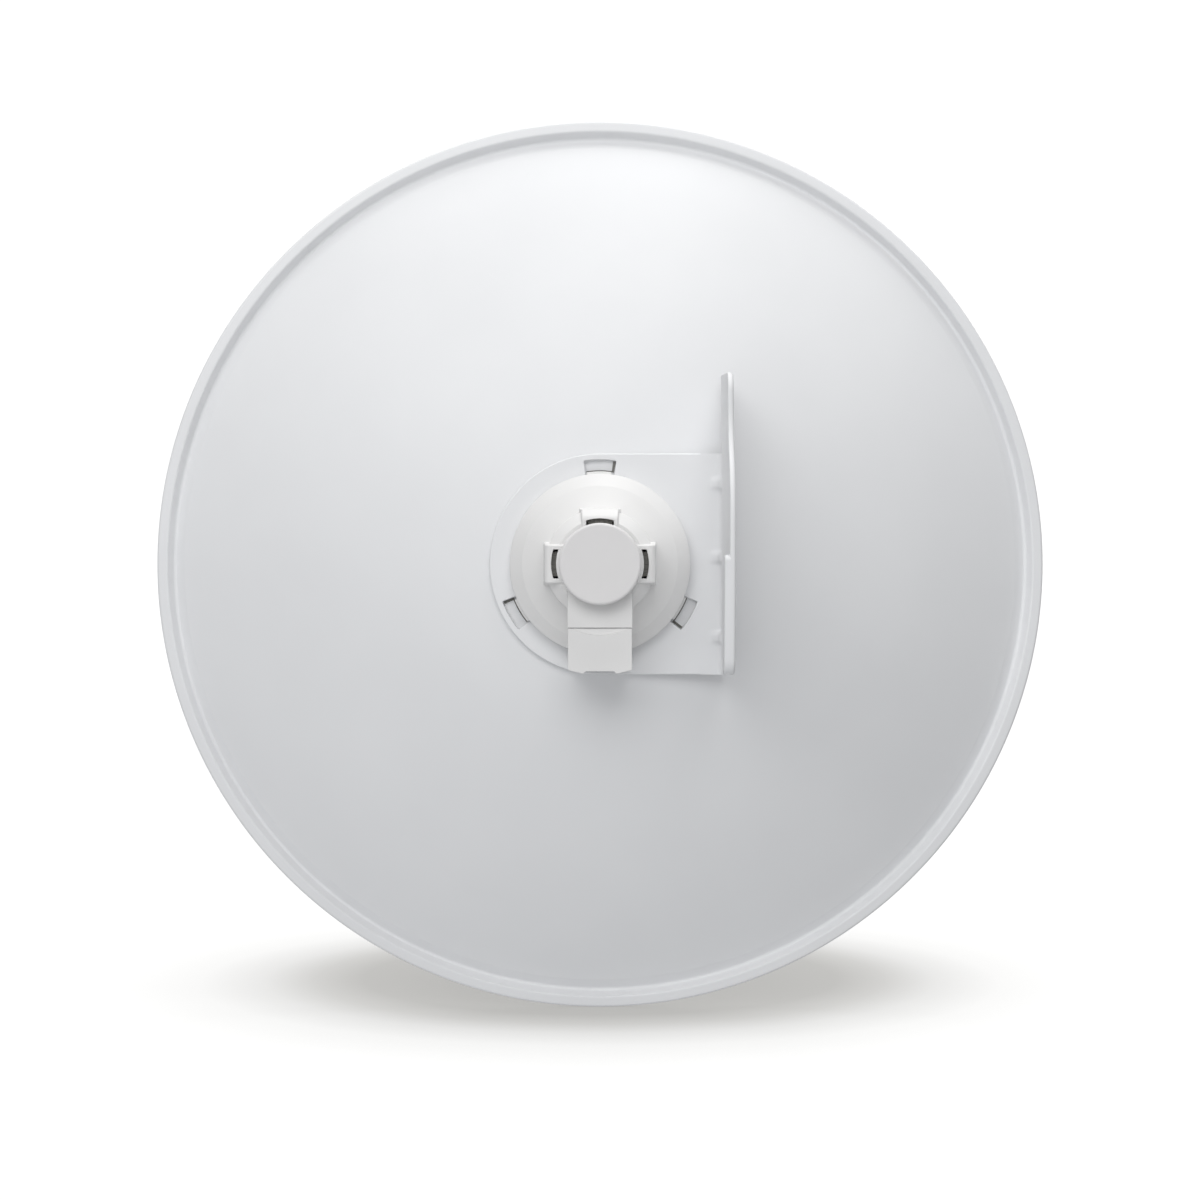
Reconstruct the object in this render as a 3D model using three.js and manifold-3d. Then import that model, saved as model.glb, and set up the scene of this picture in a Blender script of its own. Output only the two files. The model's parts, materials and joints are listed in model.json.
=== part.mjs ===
// Outdoor wireless bridge: a round dish with its radio in the middle, and the sheet-metal bracket that
// bolts to a pole clamp. Millimetres, +Z up. The dish looks along +Y, so its back faces -Y.
//
// Every piece is drawn about the dish's axis: X and Z are 0 on the axis, and Y is 0 on the rear face
// of the dish's flat hub. The last group then moves the whole object, so that the origin lies on the
// fin's outer face, between the pivot hole and the elevation slot.

import * as THREE from 'three';
import { mergeVertices } from 'three/addons/utils/BufferGeometryUtils.js';
import Module from 'manifold-3d';

const wasm = await Module();
wasm.setup();

// ---------------------------------------------------------------- driving dimensions

const GAP = 0.3; // running gap between round or turned pieces
const AROUND = 60; // segments round the dish
const AROUND_HUB = 40; // segments round the housing and the feed
const AROUND_SMALL = 12; // segments round screws, rivets and pins

const DISH_R = 210;
const FOCAL = 150;
const SHEET = 0.9;
const HUB_FLAT_R = 40.5;
const HUB_BLEND_R = 50;
const HUB_DROP = 3.375; // how far the flat hub lies in front of the paraboloid's own vertex
const HUB_HOLE_R = 27;
const RIM_WALL_R = 203.2; // where the rolled rim leaves the paraboloid
const RIM_LIP_RISE = 5; // how far the lip stands back behind the sheet

const PLATE = 2.5; // bracket sheet
const PLATE_R = 49.5;
const PLATE_HOLE_R = 29;
const FIN_OUTER_X = 57;
const FIN_DEPTH = 71;
const FIN_BOW = 4;
const ARM_DEPTH = 57.5;
const ARM_TOP = 85;
const ARM_NEAR_TOP = 82;
const ARM_FRONT_Y = 6;
const HEM = 2.3;
const HEM_DEPTH = 11;
const HEM_TOP = 3.5;
const DART_HEIGHTS = [35.9, 2.9, -33];
const DART = { x: 53.6, y: -5.4, length: 3.7, rise: 2, half: 2.9 };
const PIVOT = { y: -36, z: -8 };
const SLOT_SWING_R = 30;
const SLOT_HALF_ANGLE = 20;
const BOLT_R = 4.25; // clearance for an 8 mm bolt

const WINDOW_ANGLES = [90, -30, 210]; // 12, 4 and 8 o'clock, seen from behind
const WINDOW_HALF = 9;
const WINDOW_R = 46.8;
const HOOK_INNER_R = 33.2;
const HOOK_OUTER_R = 37.4;
const HOOK_REAR = -7.3;
const HOOK_FRONT = -5.1;
const LUG_REAR = -4.8;
const LUG_FRONT = -2.8;

const RIVET_R = 34;
const RIVET_HOLE_R = 2.7;
const RIVET_ANGLES = [14, 46, 134, 166, 254, 286];

const HOUSING_R = 40.2;
const WALL = 2;
const RING_REAR = -9.5;
const BEVEL = { r: 34.6, y: -14.3 };
const CONE = { r: 24.2, y: -20.2 };
const COLLAR_EDGE = { r: 23.9, y: -30.6 };
const COLLAR_TOP = { r: 19.4, y: -35.2 };
const COLLAR_HOLE_R = 17;
const SLEEVE_R = 18.8; // outside of the sleeve round the port housing's neck
const BOSS_REAR = -36;
const TOP_SLOT = { inner: 15, outer: 19.8, half: 6 };
const SIDE_SLOT = { inner: 19.1, outer: 21.2, half: 6.3 };
const BOSSES = [
  { name: 'latch_tab_top', angle: 90, half: 8.2, outer: 24.4, slope: 3.4, slot: TOP_SLOT },
  { name: 'latch_tab_left', angle: 180, half: 9.2, outer: 25.2, slope: 1.7, slot: SIDE_SLOT },
  { name: 'latch_tab_right', angle: 0, half: 9.2, outer: 25.2, slope: 1.7, slot: SIDE_SLOT },
];
const SLOT_LIP = 1.4; // thickness of the lip round a slot, in front of the pocket that the tab flexes in
const POCKET = 2.1; // how far the pocket reaches out beyond the lip
const TAB = { inner: 17.6, outer: 18.8, half: 5.4, rear: -33.5, front: -15 };
const TAB_BAR = { rear: -16.6, half: 7.6 };
const TAB_PAD = 1.6;

const CHANNEL_HALF = 14.2; // the notch in the housing that the port channel fills
const CHEEK = 1.5;
const CHEEK_FRONT = -4.4; // clears the rivets' heads when the housing twists
const FLOOR = { y: [-7.6, -5.6], wide: [-37, -26], tongueHalf: 11.6, tongue: [-46, -30] };
const PORT_HALF = 13.9;
const PORT_REAR = -38;
const PORT_FRONT = -14.3;
const PORT_SEAM = -27.7;
const NECK_R = 16.3;
const NECK_REAR = -40;
const NECK_LEDGE = TAB.rear + 2.1; // the ledge that the tabs' noses snap over
const SCREW = { x: 11.2, z: 7, shank: 1.5, way: 1.8, head: 2.7, sunk: 2.2 };
const CAP_R = 17.7;
const CAP_EDGE = 1.2;
const CAP_REAR = -46;
const CAP_FRONT = -40.3;

const COVER_TOP = PORT_SEAM - 0.25;
const COVER_BOTTOM = -47.7;
const COVER_CORNER = -46.1;
const NOTCH_HALF = 5.9;
const NOTCH_TOP = -46.6;
const COVER_WALL = 1.8;
const COVER_FRONT = -5.6;

const JACK = { x: [-6, 7.4], y: [-31, -15], z: [-25.4, -9] };
const SOCKET = { x: [-3.5, 4.9], y: [-28.9, -17.1], depth: 12.4 };
const RESET = { x: -9.8, y: -23, way: 1.6, tip: -27.2, rear: -24.4 };
const BOARD = { x: [-7.8, -6.2], y: [-31.6, 118], half: 13.2, low: -24.6, lowEnd: -14.8 };

const TUBE_R = 18.5;
const TUBE_BORE_R = 16.5;
const TUBE_REAR = -14;
const TUBE_FLANGE_R = 24;
const TUBE_BOSS_FRONT = -7;
const TUBE_FRONT = 142;
const FEED_CAP_R = 31;
const FEED_CAP_FRONT = 166;
const RADIATOR_BOARD = { r: 16, y: [TUBE_FRONT + 3, TUBE_FRONT + 4.6] };
const PATCH = { r: 11, y: [151.4, 152] };
const SUB_REFLECTOR = { r: 27.5, y: [157, 158.5] };
const POST_R = 5; // post that carries the patch and the sub-reflector
const POST_NECK_R = 3;

const ORIGIN = new THREE.Vector3(FIN_OUTER_X, PIVOT.y, -22);

// ---------------------------------------------------------------- finishes

const finish = (color, roughness, metalness = 0) => ({ color, roughness, metalness });
const PAINT = finish(0xe9ebee, 0.5);
const PLASTIC = finish(0xf1f0ee, 0.45);
const DARK_PLASTIC = finish(0x55544f, 0.6);
const RUBBER = finish(0x2b2b2b, 0.9);
const BOARD_GREEN = finish(0x1f5a3a, 0.5);
const TIN = finish(0xc9ccce, 0.35, 0.9);
const STEEL = finish(0xb4b7ba, 0.4, 1);
const ALUMINIUM = finish(0xd2d4d6, 0.4, 1);
const COPPER = finish(0xc98a5a, 0.35, 1);
const BLACK = finish(0x1b1b1d, 0.55);

// ---------------------------------------------------------------- solids from three.js shapes

const radians = THREE.MathUtils.degToRad;

/** A point on a circle about the dish's axis, at an angle that runs anticlockwise seen from behind. */
function polar(r, degrees) {
  return new THREE.Vector2(r * Math.cos(radians(degrees)), r * Math.sin(radians(degrees)));
}

/** A closed three.js geometry as a manifold solid, with its faces turned outwards. */
function solid(geometry) {
  const bare = new THREE.BufferGeometry().setAttribute('position', geometry.getAttribute('position').clone());
  if (geometry.index) bare.setIndex(geometry.index.clone());
  const merged = mergeVertices(bare, 1e-4);
  const at = merged.getAttribute('position');
  const corner = [new THREE.Vector3(), new THREE.Vector3(), new THREE.Vector3()];
  const triangles = [];
  let volume = 0;
  for (let i = 0; i < merged.index.count; i += 3) {
    const face = [0, 1, 2].map((k) => merged.index.getX(i + k));
    if (new Set(face).size < 3) continue;
    face.forEach((v, k) => corner[k].fromBufferAttribute(at, v));
    volume += corner[0].dot(corner[1].clone().cross(corner[2]));
    triangles.push(...face);
  }
  if (volume < 0) triangles.reverse();
  return new wasm.Manifold(new wasm.Mesh({
    numProp: 3,
    vertProperties: new Float32Array(at.array),
    triVerts: new Uint32Array(triangles),
  }));
}

/** A box from its limits along X, Y and Z. */
function box([x0, x1], [y0, y1], [z0, z1]) {
  const geometry = new THREE.BoxGeometry(x1 - x0, y1 - y0, z1 - z0);
  return solid(geometry.translate((x0 + x1) / 2, (y0 + y1) / 2, (z0 + z1) / 2));
}

/** A profile of [r, y] points turned about the dish's axis. */
function turned(profile, segments = AROUND_HUB) {
  const points = profile.map(([r, y]) => new THREE.Vector2(r, y));
  return solid(new THREE.LatheGeometry(points, segments));
}

/** A round ring or disc about a line parallel to the dish's axis. */
function ring(outer, inner, [rear, front], { x = 0, z = 0, segments = AROUND_HUB } = {}) {
  const profile = inner > 0
    ? [[inner, rear], [outer, rear], [outer, front], [inner, front], [inner, rear]]
    : [[0, rear], [outer, rear], [outer, front], [0, front]];
  return turned(profile, segments).translate([x, 0, z]);
}

/** An outline in X and Z, seen from behind, that runs from the rear to the front along Y. */
function alongY(shape, [rear, front], curveSegments = 16) {
  const settings = { depth: front - rear, bevelEnabled: false, curveSegments };
  const geometry = new THREE.ExtrudeGeometry(shape, settings);
  geometry.rotateX(Math.PI / 2);
  return solid(geometry.translate(0, front, 0));
}

/** An outline in Y and Z that runs along X. */
function alongX(shape, [left, right], curveSegments = 8) {
  const settings = { depth: right - left, bevelEnabled: false, curveSegments };
  const geometry = new THREE.ExtrudeGeometry(shape, settings);
  const turn = new THREE.Matrix4().makeBasis(
    new THREE.Vector3(0, 1, 0),
    new THREE.Vector3(0, 0, 1),
    new THREE.Vector3(1, 0, 0),
  );
  return solid(geometry.applyMatrix4(turn).translate(left, 0, 0));
}

/** A piece of a flat ring between two angles. */
function sector([inner, outer], [from, to], limits) {
  const shape = new THREE.Shape();
  shape.absarc(0, 0, outer, radians(from), radians(to), false);
  shape.absarc(0, 0, inner, radians(to), radians(from), true);
  shape.closePath();
  return alongY(shape, limits, 6);
}

/** A boss-like block that stands out at an angle round the dish's axis: r limits, half width, Y limits. */
function block([inner, outer], half, limits, degrees) {
  return box([inner, outer], limits, [-half, half]).rotate([0, -degrees, 0]);
}

function mirrorLimits(half) {
  return [-half, half];
}

/** A named mesh of one solid. */
function part(name, made, { color, roughness, metalness }) {
  const cut = made.getMesh();
  const geometry = new THREE.BufferGeometry();
  geometry.setAttribute('position', new THREE.BufferAttribute(new Float32Array(cut.vertProperties), 3));
  geometry.setIndex(new THREE.BufferAttribute(new Uint32Array(cut.triVerts), 1));
  geometry.computeVertexNormals();
  const mesh = new THREE.Mesh(geometry, new THREE.MeshStandardMaterial({ color, roughness, metalness }));
  mesh.name = name;
  return mesh;
}

// ---------------------------------------------------------------- dish

/** Rear face of the dish at radius r: a flat hub, a short blend, then the paraboloid. */
function dishRear(r) {
  if (r <= HUB_FLAT_R) return 0;
  if (r >= HUB_BLEND_R) return (r * r) / (4 * FOCAL) - HUB_DROP;
  const rise = (HUB_BLEND_R * HUB_BLEND_R) / (4 * FOCAL) - HUB_DROP;
  return rise * ((r - HUB_FLAT_R) / (HUB_BLEND_R - HUB_FLAT_R)) ** 2;
}

function dishReflector() {
  const radii = [HUB_HOLE_R, HUB_FLAT_R, 45, HUB_BLEND_R, 70, 92, 114, 136, 158, 180, 200.5];
  const rear = radii.map((r) => [r, dishRear(r)]);
  const edge = dishRear(RIM_WALL_R);
  const lip = edge - RIM_LIP_RISE;
  const rim = [
    [202.6, edge - 0.9],
    [204.2, edge - 3],
    [205.2, lip + 0.4],
    [206.3, lip],
    [208.5, lip],
    [209.6, lip + 0.5],
    [DISH_R, lip + 1.7],
    [DISH_R, edge + 1],
    [209.3, edge + 2],
    [207.8, edge + 2.5],
    [206, edge + 2.3],
  ];
  const front = radii.map((r) => [r, dishRear(r) + SHEET]).reverse();
  const shell = turned([...rear, ...rim, ...front, rear[0]], AROUND);
  return rivetHoles(shell);
}

function rivetHoles(made) {
  return RIVET_ANGLES.reduce((rest, angle) => {
    const at = polar(RIVET_R, angle);
    return rest.subtract(ring(RIVET_HOLE_R, 0, [-5, 3], { x: at.x, z: at.y, segments: AROUND_SMALL }));
  }, made);
}

// ---------------------------------------------------------------- bracket

/** The base plate: half round on the left, straight to the bend on the right. */
function plateOutline() {
  const shape = new THREE.Shape();
  shape.moveTo(FIN_OUTER_X - 2 * PLATE, -PLATE_R);
  shape.lineTo(FIN_OUTER_X - 2 * PLATE, PLATE_R);
  shape.lineTo(0, PLATE_R);
  shape.absarc(0, 0, PLATE_R, Math.PI / 2, (3 * Math.PI) / 2, false);
  shape.closePath();
  return shape;
}

/** The fin's outline in Y and Z: a rear edge that bows out beside the plate, and a shallower arm above it. */
function finOutline() {
  const bend = -2 * PLATE;
  const shape = new THREE.Shape();
  const rear = -FIN_DEPTH - FIN_BOW;
  shape.moveTo(bend, -PLATE_R);
  shape.lineTo(-FIN_DEPTH + 15, -PLATE_R + 2.5);
  shape.quadraticCurveTo(-FIN_DEPTH + 1, -PLATE_R + 3, -FIN_DEPTH, -PLATE_R + 16);
  shape.quadraticCurveTo(rear - 1, -10, rear, 18);
  shape.bezierCurveTo(rear, 46, -ARM_DEPTH - 1, 44, -ARM_DEPTH, 66);
  shape.quadraticCurveTo(-ARM_DEPTH + 1, ARM_NEAR_TOP, -ARM_DEPTH + 14, ARM_NEAR_TOP);
  shape.lineTo(ARM_FRONT_Y - 3, ARM_TOP);
  shape.quadraticCurveTo(ARM_FRONT_Y, ARM_TOP, ARM_FRONT_Y, ARM_TOP - 3);
  shape.lineTo(ARM_FRONT_Y, PLATE_R + 6);
  shape.lineTo(bend, PLATE_R + 1);
  shape.closePath();
  return shape;
}

/** The arc slot that a bolt slides in when the dish is tilted about the pivot bolt. */
function elevationSlot() {
  const at = (r, degrees) => polar(r, degrees).add(new THREE.Vector2(PIVOT.y, PIVOT.z));
  const first = 270 - SLOT_HALF_ANGLE;
  const last = 270 + SLOT_HALF_ANGLE;
  const shape = new THREE.Shape();
  shape.absarc(PIVOT.y, PIVOT.z, SLOT_SWING_R + BOLT_R, radians(first), radians(last), false);
  const left = at(SLOT_SWING_R, last);
  shape.absarc(left.x, left.y, BOLT_R, radians(last), radians(last + 180), false);
  shape.absarc(PIVOT.y, PIVOT.z, SLOT_SWING_R - BOLT_R, radians(last), radians(first), true);
  const right = at(SLOT_SWING_R, first);
  shape.absarc(right.x, right.y, BOLT_R, radians(first + 180), radians(first + 360), false);
  return alongX(shape, [FIN_OUTER_X - 10, FIN_OUTER_X + 5], 8);
}

function pivotHole() {
  const shape = new THREE.Shape();
  shape.absarc(PIVOT.y, PIVOT.z, BOLT_R, 0, 2 * Math.PI, false);
  return alongX(shape, [FIN_OUTER_X - 10, FIN_OUTER_X + 5], 10);
}

/** The quarter-round bend between the base plate and the fin. */
function bend() {
  const x = FIN_OUTER_X - 2 * PLATE;
  const y = -2 * PLATE;
  const section = new THREE.Shape();
  section.absarc(0, 0, 2 * PLATE, 0, Math.PI / 2, false);
  section.absarc(0, 0, PLATE, Math.PI / 2, 0, true);
  section.closePath();
  const settings = { depth: 2 * PLATE_R, bevelEnabled: false, curveSegments: 4 };
  const strip = new THREE.ExtrudeGeometry(section, settings);
  return solid(strip.translate(x, y, -PLATE_R));
}

/** A pressed dart that stiffens the bend from inside. */
function dart(z) {
  const bump = new THREE.SphereGeometry(1, 8, 6).scale(DART.length, DART.rise, DART.half);
  bump.rotateZ(-Math.PI / 4);
  return solid(bump.translate(DART.x, DART.y, z));
}

/** A hook that the housing's lug turns under: a strip raised behind the plate on one leg. */
function bayonetHook(angle) {
  const strip = sector([HOOK_INNER_R, HOOK_OUTER_R], [angle - 6.5, angle + 12], [HOOK_REAR, HOOK_FRONT]);
  const leg = sector([HOOK_INNER_R, HOOK_OUTER_R], [angle + 9.2, angle + 12], [HOOK_REAR, -PLATE / 2]);
  return strip.add(leg);
}

function mountingBracket() {
  const finX = [FIN_OUTER_X - PLATE, FIN_OUTER_X];
  const hemX = [FIN_OUTER_X - PLATE - HEM, FIN_OUTER_X - PLATE];
  const hemZone = box([0, 100], [-100, -FIN_DEPTH - FIN_BOW + HEM_DEPTH], [-60, HEM_TOP]);
  let made = alongY(plateOutline(), [-PLATE, 0], 20);
  made = made.subtract(ring(PLATE_HOLE_R, 0, [-10, 10], { segments: 48 }));
  WINDOW_ANGLES.forEach((angle) => {
    const window = sector([HOOK_INNER_R, WINDOW_R], [angle - WINDOW_HALF, angle + WINDOW_HALF], [-10, 10]);
    made = made.subtract(window);
  });
  made = made.add(bend()).add(alongX(finOutline(), finX));
  made = made.add(alongX(finOutline(), hemX).intersect(hemZone));
  DART_HEIGHTS.forEach((z) => {
    made = made.add(dart(z));
  });
  WINDOW_ANGLES.forEach((angle) => {
    made = made.add(bayonetHook(angle));
  });
  return rivetHoles(made.subtract(elevationSlot()).subtract(pivotHole()));
}

/** A blind rivet through the bracket and the dish, with a low dome at each end. */
function bracketRivet(angle) {
  const at = polar(RIVET_R, angle);
  const profile = [
    [0, -PLATE - 1.5],
    [2.2, -PLATE - 1.3],
    [3.8, -PLATE - 0.5],
    [3.9, -PLATE],
    [2.4, -PLATE],
    [2.4, SHEET],
    [3.6, SHEET],
    [3.2, SHEET + 0.9],
    [0, SHEET + 1.3],
  ];
  return turned(profile, AROUND_SMALL).translate([at.x, 0, at.y]);
}

// ---------------------------------------------------------------- rear housing

const HOUSING_OUTER = [
  [HOUSING_R, LUG_FRONT],
  [HOUSING_R, RING_REAR + 0.8],
  [HOUSING_R - 0.6, RING_REAR],
  [BEVEL.r, BEVEL.y],
  [CONE.r + 0.5, CONE.y + 0.2],
  [CONE.r, CONE.y - 0.4],
  [COLLAR_EDGE.r, COLLAR_EDGE.y + 0.3],
  [COLLAR_EDGE.r - 0.3, COLLAR_EDGE.y - 0.2],
  [COLLAR_TOP.r + 0.1, COLLAR_TOP.y + 0.2],
  [COLLAR_TOP.r - 0.4, COLLAR_TOP.y],
];

const HOUSING_HOLLOW = [
  [HOUSING_R - WALL, 0],
  [HOUSING_R - WALL, RING_REAR + 1],
  [BEVEL.r - 0.7, BEVEL.y + WALL],
  [CONE.r - 1.6, CONE.y + WALL + 0.4],
  [COLLAR_EDGE.r - WALL, COLLAR_EDGE.y + 0.8],
  [SLEEVE_R + 0.4, COLLAR_TOP.y + WALL + 1],
  [SLEEVE_R, COLLAR_TOP.y + WALL + 1],
  [SLEEVE_R, CONE.y + WALL],
  [COLLAR_HOLE_R + 0.2, CONE.y + WALL],
  [COLLAR_HOLE_R, CONE.y + WALL - 1],
  [COLLAR_HOLE_R, -60],
];

/** Everything within the housing's outer surface, down to the axis. */
function housingBulk() {
  return turned([[0, LUG_FRONT], ...HOUSING_OUTER, [0, COLLAR_TOP.y]]);
}

function housingHollow() {
  return turned([[0, 0], ...HOUSING_HOLLOW, [0, -60]]);
}

/** A lug under the ring that turns under a hook, with a tongue that shows in the window. */
function bayonetLug(angle) {
  const inner = sector([HOOK_INNER_R + 1, HOUSING_R - 0.5], [angle - 6, angle + 8.5], [LUG_REAR, LUG_FRONT]);
  const tongue = sector([HOUSING_R - 1, HOUSING_R + 1.2], [angle - 7, angle + 8.4], [LUG_REAR, LUG_FRONT]);
  return inner.add(tongue);
}

/** The outside of a boss: a block whose top slopes a little and which sinks into the cone. */
function boss({ angle, half, outer, slope }) {
  const side = new THREE.Shape();
  side.moveTo(14, CONE.y + 1);
  side.lineTo(outer + 0.6, CONE.y + 1);
  side.lineTo(outer, BOSS_REAR + 4);
  side.lineTo(outer - slope * 0.2, BOSS_REAR + slope * 0.75);
  side.lineTo(outer - slope * 0.8, BOSS_REAR + 0.2);
  side.lineTo(outer - slope, BOSS_REAR);
  side.lineTo(14, BOSS_REAR);
  side.closePath();
  const geometry = new THREE.ExtrudeGeometry(side, { depth: 2 * half, bevelEnabled: false });
  return solid(geometry.translate(0, 0, -half)).rotate([0, -angle, 0]);
}

function rearHousing() {
  const bulk = housingBulk();
  let made = BOSSES.reduce((sum, one) => sum.add(boss(one)), bulk);
  made = made.subtract(housingHollow());
  BOSSES.forEach(({ angle, slot }) => {
    const mouth = [BOSS_REAR - 1, BOSS_REAR + SLOT_LIP + 1];
    const pocket = [BOSS_REAR + SLOT_LIP, CONE.y + 3];
    const swing = [BOSS_REAR + SLOT_LIP + 0.4, CONE.y + 3];
    const arc = ring(slot.outer, slot.inner, mouth, { segments: 2 * AROUND_HUB });
    made = made.subtract(arc.intersect(block([10, 30], slot.half, mouth, angle)));
    made = made.subtract(block([15, slot.outer + 0.3], slot.half, pocket, angle));
    made = made.subtract(block([15, slot.outer + POCKET], slot.half, swing, angle));
  });
  made = made.subtract(box(mirrorLimits(CHANNEL_HALF), [-50, 0], [-60, 0]));
  const way = ring(COLLAR_HOLE_R, 0, [-60, 0]).add(ring(TUBE_FLANGE_R + 0.4, 0, [PORT_FRONT, 0]));
  [-1, 1].forEach((side) => {
    const near = side * CHANNEL_HALF;
    const far = side * (CHANNEL_HALF + CHEEK);
    const cheek = box([Math.min(near, far), Math.max(near, far)], [-40, CHEEK_FRONT], [-45, -13]);
    made = made.add(cheek.intersect(bulk).subtract(way));
  });
  made = made.add(channelFloor());
  WINDOW_ANGLES.forEach((angle) => {
    made = made.add(bayonetLug(angle));
  });
  return made;
}

/** The floor of the port channel: it joins the two cheeks and runs down behind the cable. */
function channelFloor() {
  const wide = box(mirrorLimits(CHANNEL_HALF + CHEEK / 2), FLOOR.y, FLOOR.wide);
  const tongue = box(mirrorLimits(FLOOR.tongueHalf), FLOOR.y, FLOOR.tongue);
  return wide.add(tongue);
}

/** A tab that snaps over the ledge of the port housing, has a finger pad, and flexes about a bar. */
function latchTab({ angle, slot }) {
  const tongue = box([TAB.inner, TAB.outer], [TAB.rear, TAB.front], mirrorLimits(TAB.half));
  const noseR = [TAB.inner - 0.9, TAB.inner + 0.1];
  const nose = box(noseR, [TAB.rear, TAB.rear + 1.8], mirrorLimits(TAB.half - 1));
  const bar = box([TAB.inner, TAB.outer], [TAB_BAR.rear, TAB.front], mirrorLimits(TAB_BAR.half));
  const pad = box([TAB.inner, slot.outer + 0.4], [TAB.rear, TAB.rear + TAB_PAD], mirrorLimits(TAB.half));
  return tongue.add(nose).add(bar).add(pad).rotate([0, -angle, 0]);
}

// ---------------------------------------------------------------- port housing, cap and cover

function portHousing() {
  const neck = turned([
    [0, NECK_REAR],
    [NECK_R - 0.6, NECK_REAR],
    [NECK_R - 0.6, NECK_LEDGE],
    [NECK_R + 0.4, NECK_LEDGE + 0.2],
    [NECK_R + 0.4, PORT_FRONT],
    [0, PORT_FRONT],
  ]);
  const channel = box(mirrorLimits(PORT_HALF), [PORT_REAR, PORT_FRONT], [PORT_SEAM, -4]);
  const bore = ring(NECK_R - 2.6, 0, [NECK_REAR + 2, 0], { segments: 40 });
  const hollow = box(mirrorLimits(PORT_HALF - WALL), [PORT_REAR + WALL, 0], [PORT_SEAM + WALL, -3]);
  let made = neck.add(channel).subtract(bore).subtract(hollow);
  [-1, 1].forEach((side) => {
    const place = { x: side * SCREW.x, z: SCREW.z, segments: AROUND_SMALL };
    made = made.add(ring(SCREW.head + 0.4, 0, [NECK_REAR, PORT_FRONT], place));
    made = made.subtract(ring(SCREW.way, 0, [-50, 0], place));
    made = made.subtract(ring(SCREW.head + GAP, 0, [-50, NECK_REAR + SCREW.sunk], place));
  });
  const wider = ([low, high]) => [low - 0.8, high + 0.8];
  const socketWay = box(wider(SOCKET.x), wider(SOCKET.y), [PORT_SEAM - 2, PORT_SEAM + WALL + 0.7]);
  const resetWay = new THREE.CylinderGeometry(RESET.way, RESET.way, 6, AROUND_SMALL).rotateX(Math.PI / 2);
  return made.subtract(socketWay).subtract(solid(resetWay.translate(RESET.x, RESET.y, PORT_SEAM)));
}

/** A shallow round cup with a bevelled edge. */
function tailCap() {
  return turned([
    [0, CAP_REAR],
    [CAP_R - CAP_EDGE, CAP_REAR],
    [CAP_R - CAP_EDGE / 3, CAP_REAR + CAP_EDGE / 3],
    [CAP_R, CAP_REAR + CAP_EDGE],
    [CAP_R, CAP_FRONT],
    [CAP_R - 1.8, CAP_FRONT],
    [CAP_R - 1.8, CAP_REAR + 2],
    [0, CAP_REAR + 2],
  ]);
}

/** Rear face of the port cover, seen from behind, with its sloped foot and the cable notch. */
function coverOutline() {
  const shape = new THREE.Shape();
  shape.moveTo(-PORT_HALF, COVER_TOP);
  shape.lineTo(-PORT_HALF, COVER_CORNER);
  shape.lineTo(-NOTCH_HALF - 1.2, COVER_BOTTOM);
  shape.lineTo(-NOTCH_HALF, NOTCH_TOP);
  shape.lineTo(NOTCH_HALF, NOTCH_TOP);
  shape.lineTo(NOTCH_HALF + 1.2, COVER_BOTTOM);
  shape.lineTo(PORT_HALF, COVER_CORNER);
  shape.lineTo(PORT_HALF, COVER_TOP);
  shape.closePath();
  return shape;
}

function portCover() {
  const inside = mirrorLimits(PORT_HALF - COVER_WALL);
  const lowest = COVER_BOTTOM - 1;
  const underFloor = FLOOR.y[0] - 0.5;
  let made = alongY(coverOutline(), [PORT_REAR, COVER_FRONT]);
  made = made.subtract(box(inside, [PORT_REAR + COVER_WALL, 0], [COVER_CORNER + COVER_WALL, 0]));
  made = made.subtract(box(mirrorLimits(PORT_HALF + 1), [underFloor, 0], [FLOOR.wide[0] - 1.6, 0]));
  made = made.subtract(box(mirrorLimits(FLOOR.tongueHalf + GAP), [underFloor + 0.1, 0], [lowest, 0]));
  made = made.subtract(box(mirrorLimits(NOTCH_HALF), [PORT_REAR + 6, 0], [lowest - 1, COVER_CORNER + 3]));
  return made;
}

// ---------------------------------------------------------------- electronics

function rj45Jack() {
  const body = box(JACK.x, JACK.y, JACK.z);
  const mouth = box(SOCKET.x, SOCKET.y, [JACK.z[0] - 1, JACK.z[0] + SOCKET.depth]);
  const latchWay = box([SOCKET.x[1] - 0.1, SOCKET.x[1] + 1.6], [-26, -20], [JACK.z[0] - 1, JACK.z[0] + 9]);
  return body.subtract(mouth).subtract(latchWay);
}

function circuitBoard() {
  const { x, y, half, low, lowEnd } = BOARD;
  const inTube = box(x, [TUBE_BOSS_FRONT + GAP, y[1]], mirrorLimits(half));
  const atJack = box(x, [y[0], lowEnd], [low, 6]);
  const waist = box(x, [lowEnd - 1, TUBE_BOSS_FRONT + 1], [-12, 2.3]);
  return inTube.add(atJack).add(waist);
}

/** A plug-in ring that holds the board in the tube. */
function boardClip(y) {
  const hoop = ring(TUBE_BORE_R - 0.1, 13.6, [y, y + 6], { segments: 40 });
  const slot = box([BOARD.x[0] - GAP, BOARD.x[1] + GAP], [y - 1, y + 7], mirrorLimits(BOARD.half + GAP));
  return hoop.subtract(slot);
}

/** A plunger with a collar that keeps it in its hole; it travels up. */
function resetButton() {
  const { tip, rear } = RESET;
  const collar = rear - 0.8;
  const profile = [
    [0, tip],
    [1, tip],
    [1.25, tip + 0.3],
    [1.25, collar],
    [1.85, collar],
    [1.85, rear],
    [0, rear],
  ];
  return turned(profile, AROUND_SMALL).rotate([90, 0, 0]).translate([RESET.x, RESET.y, 0]);
}

function coaxLine(z) {
  return ring(1.1, 0, [BOARD.y[1] - 14, TUBE_FRONT + 2.6], { x: -4.9, z, segments: 12 });
}

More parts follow.
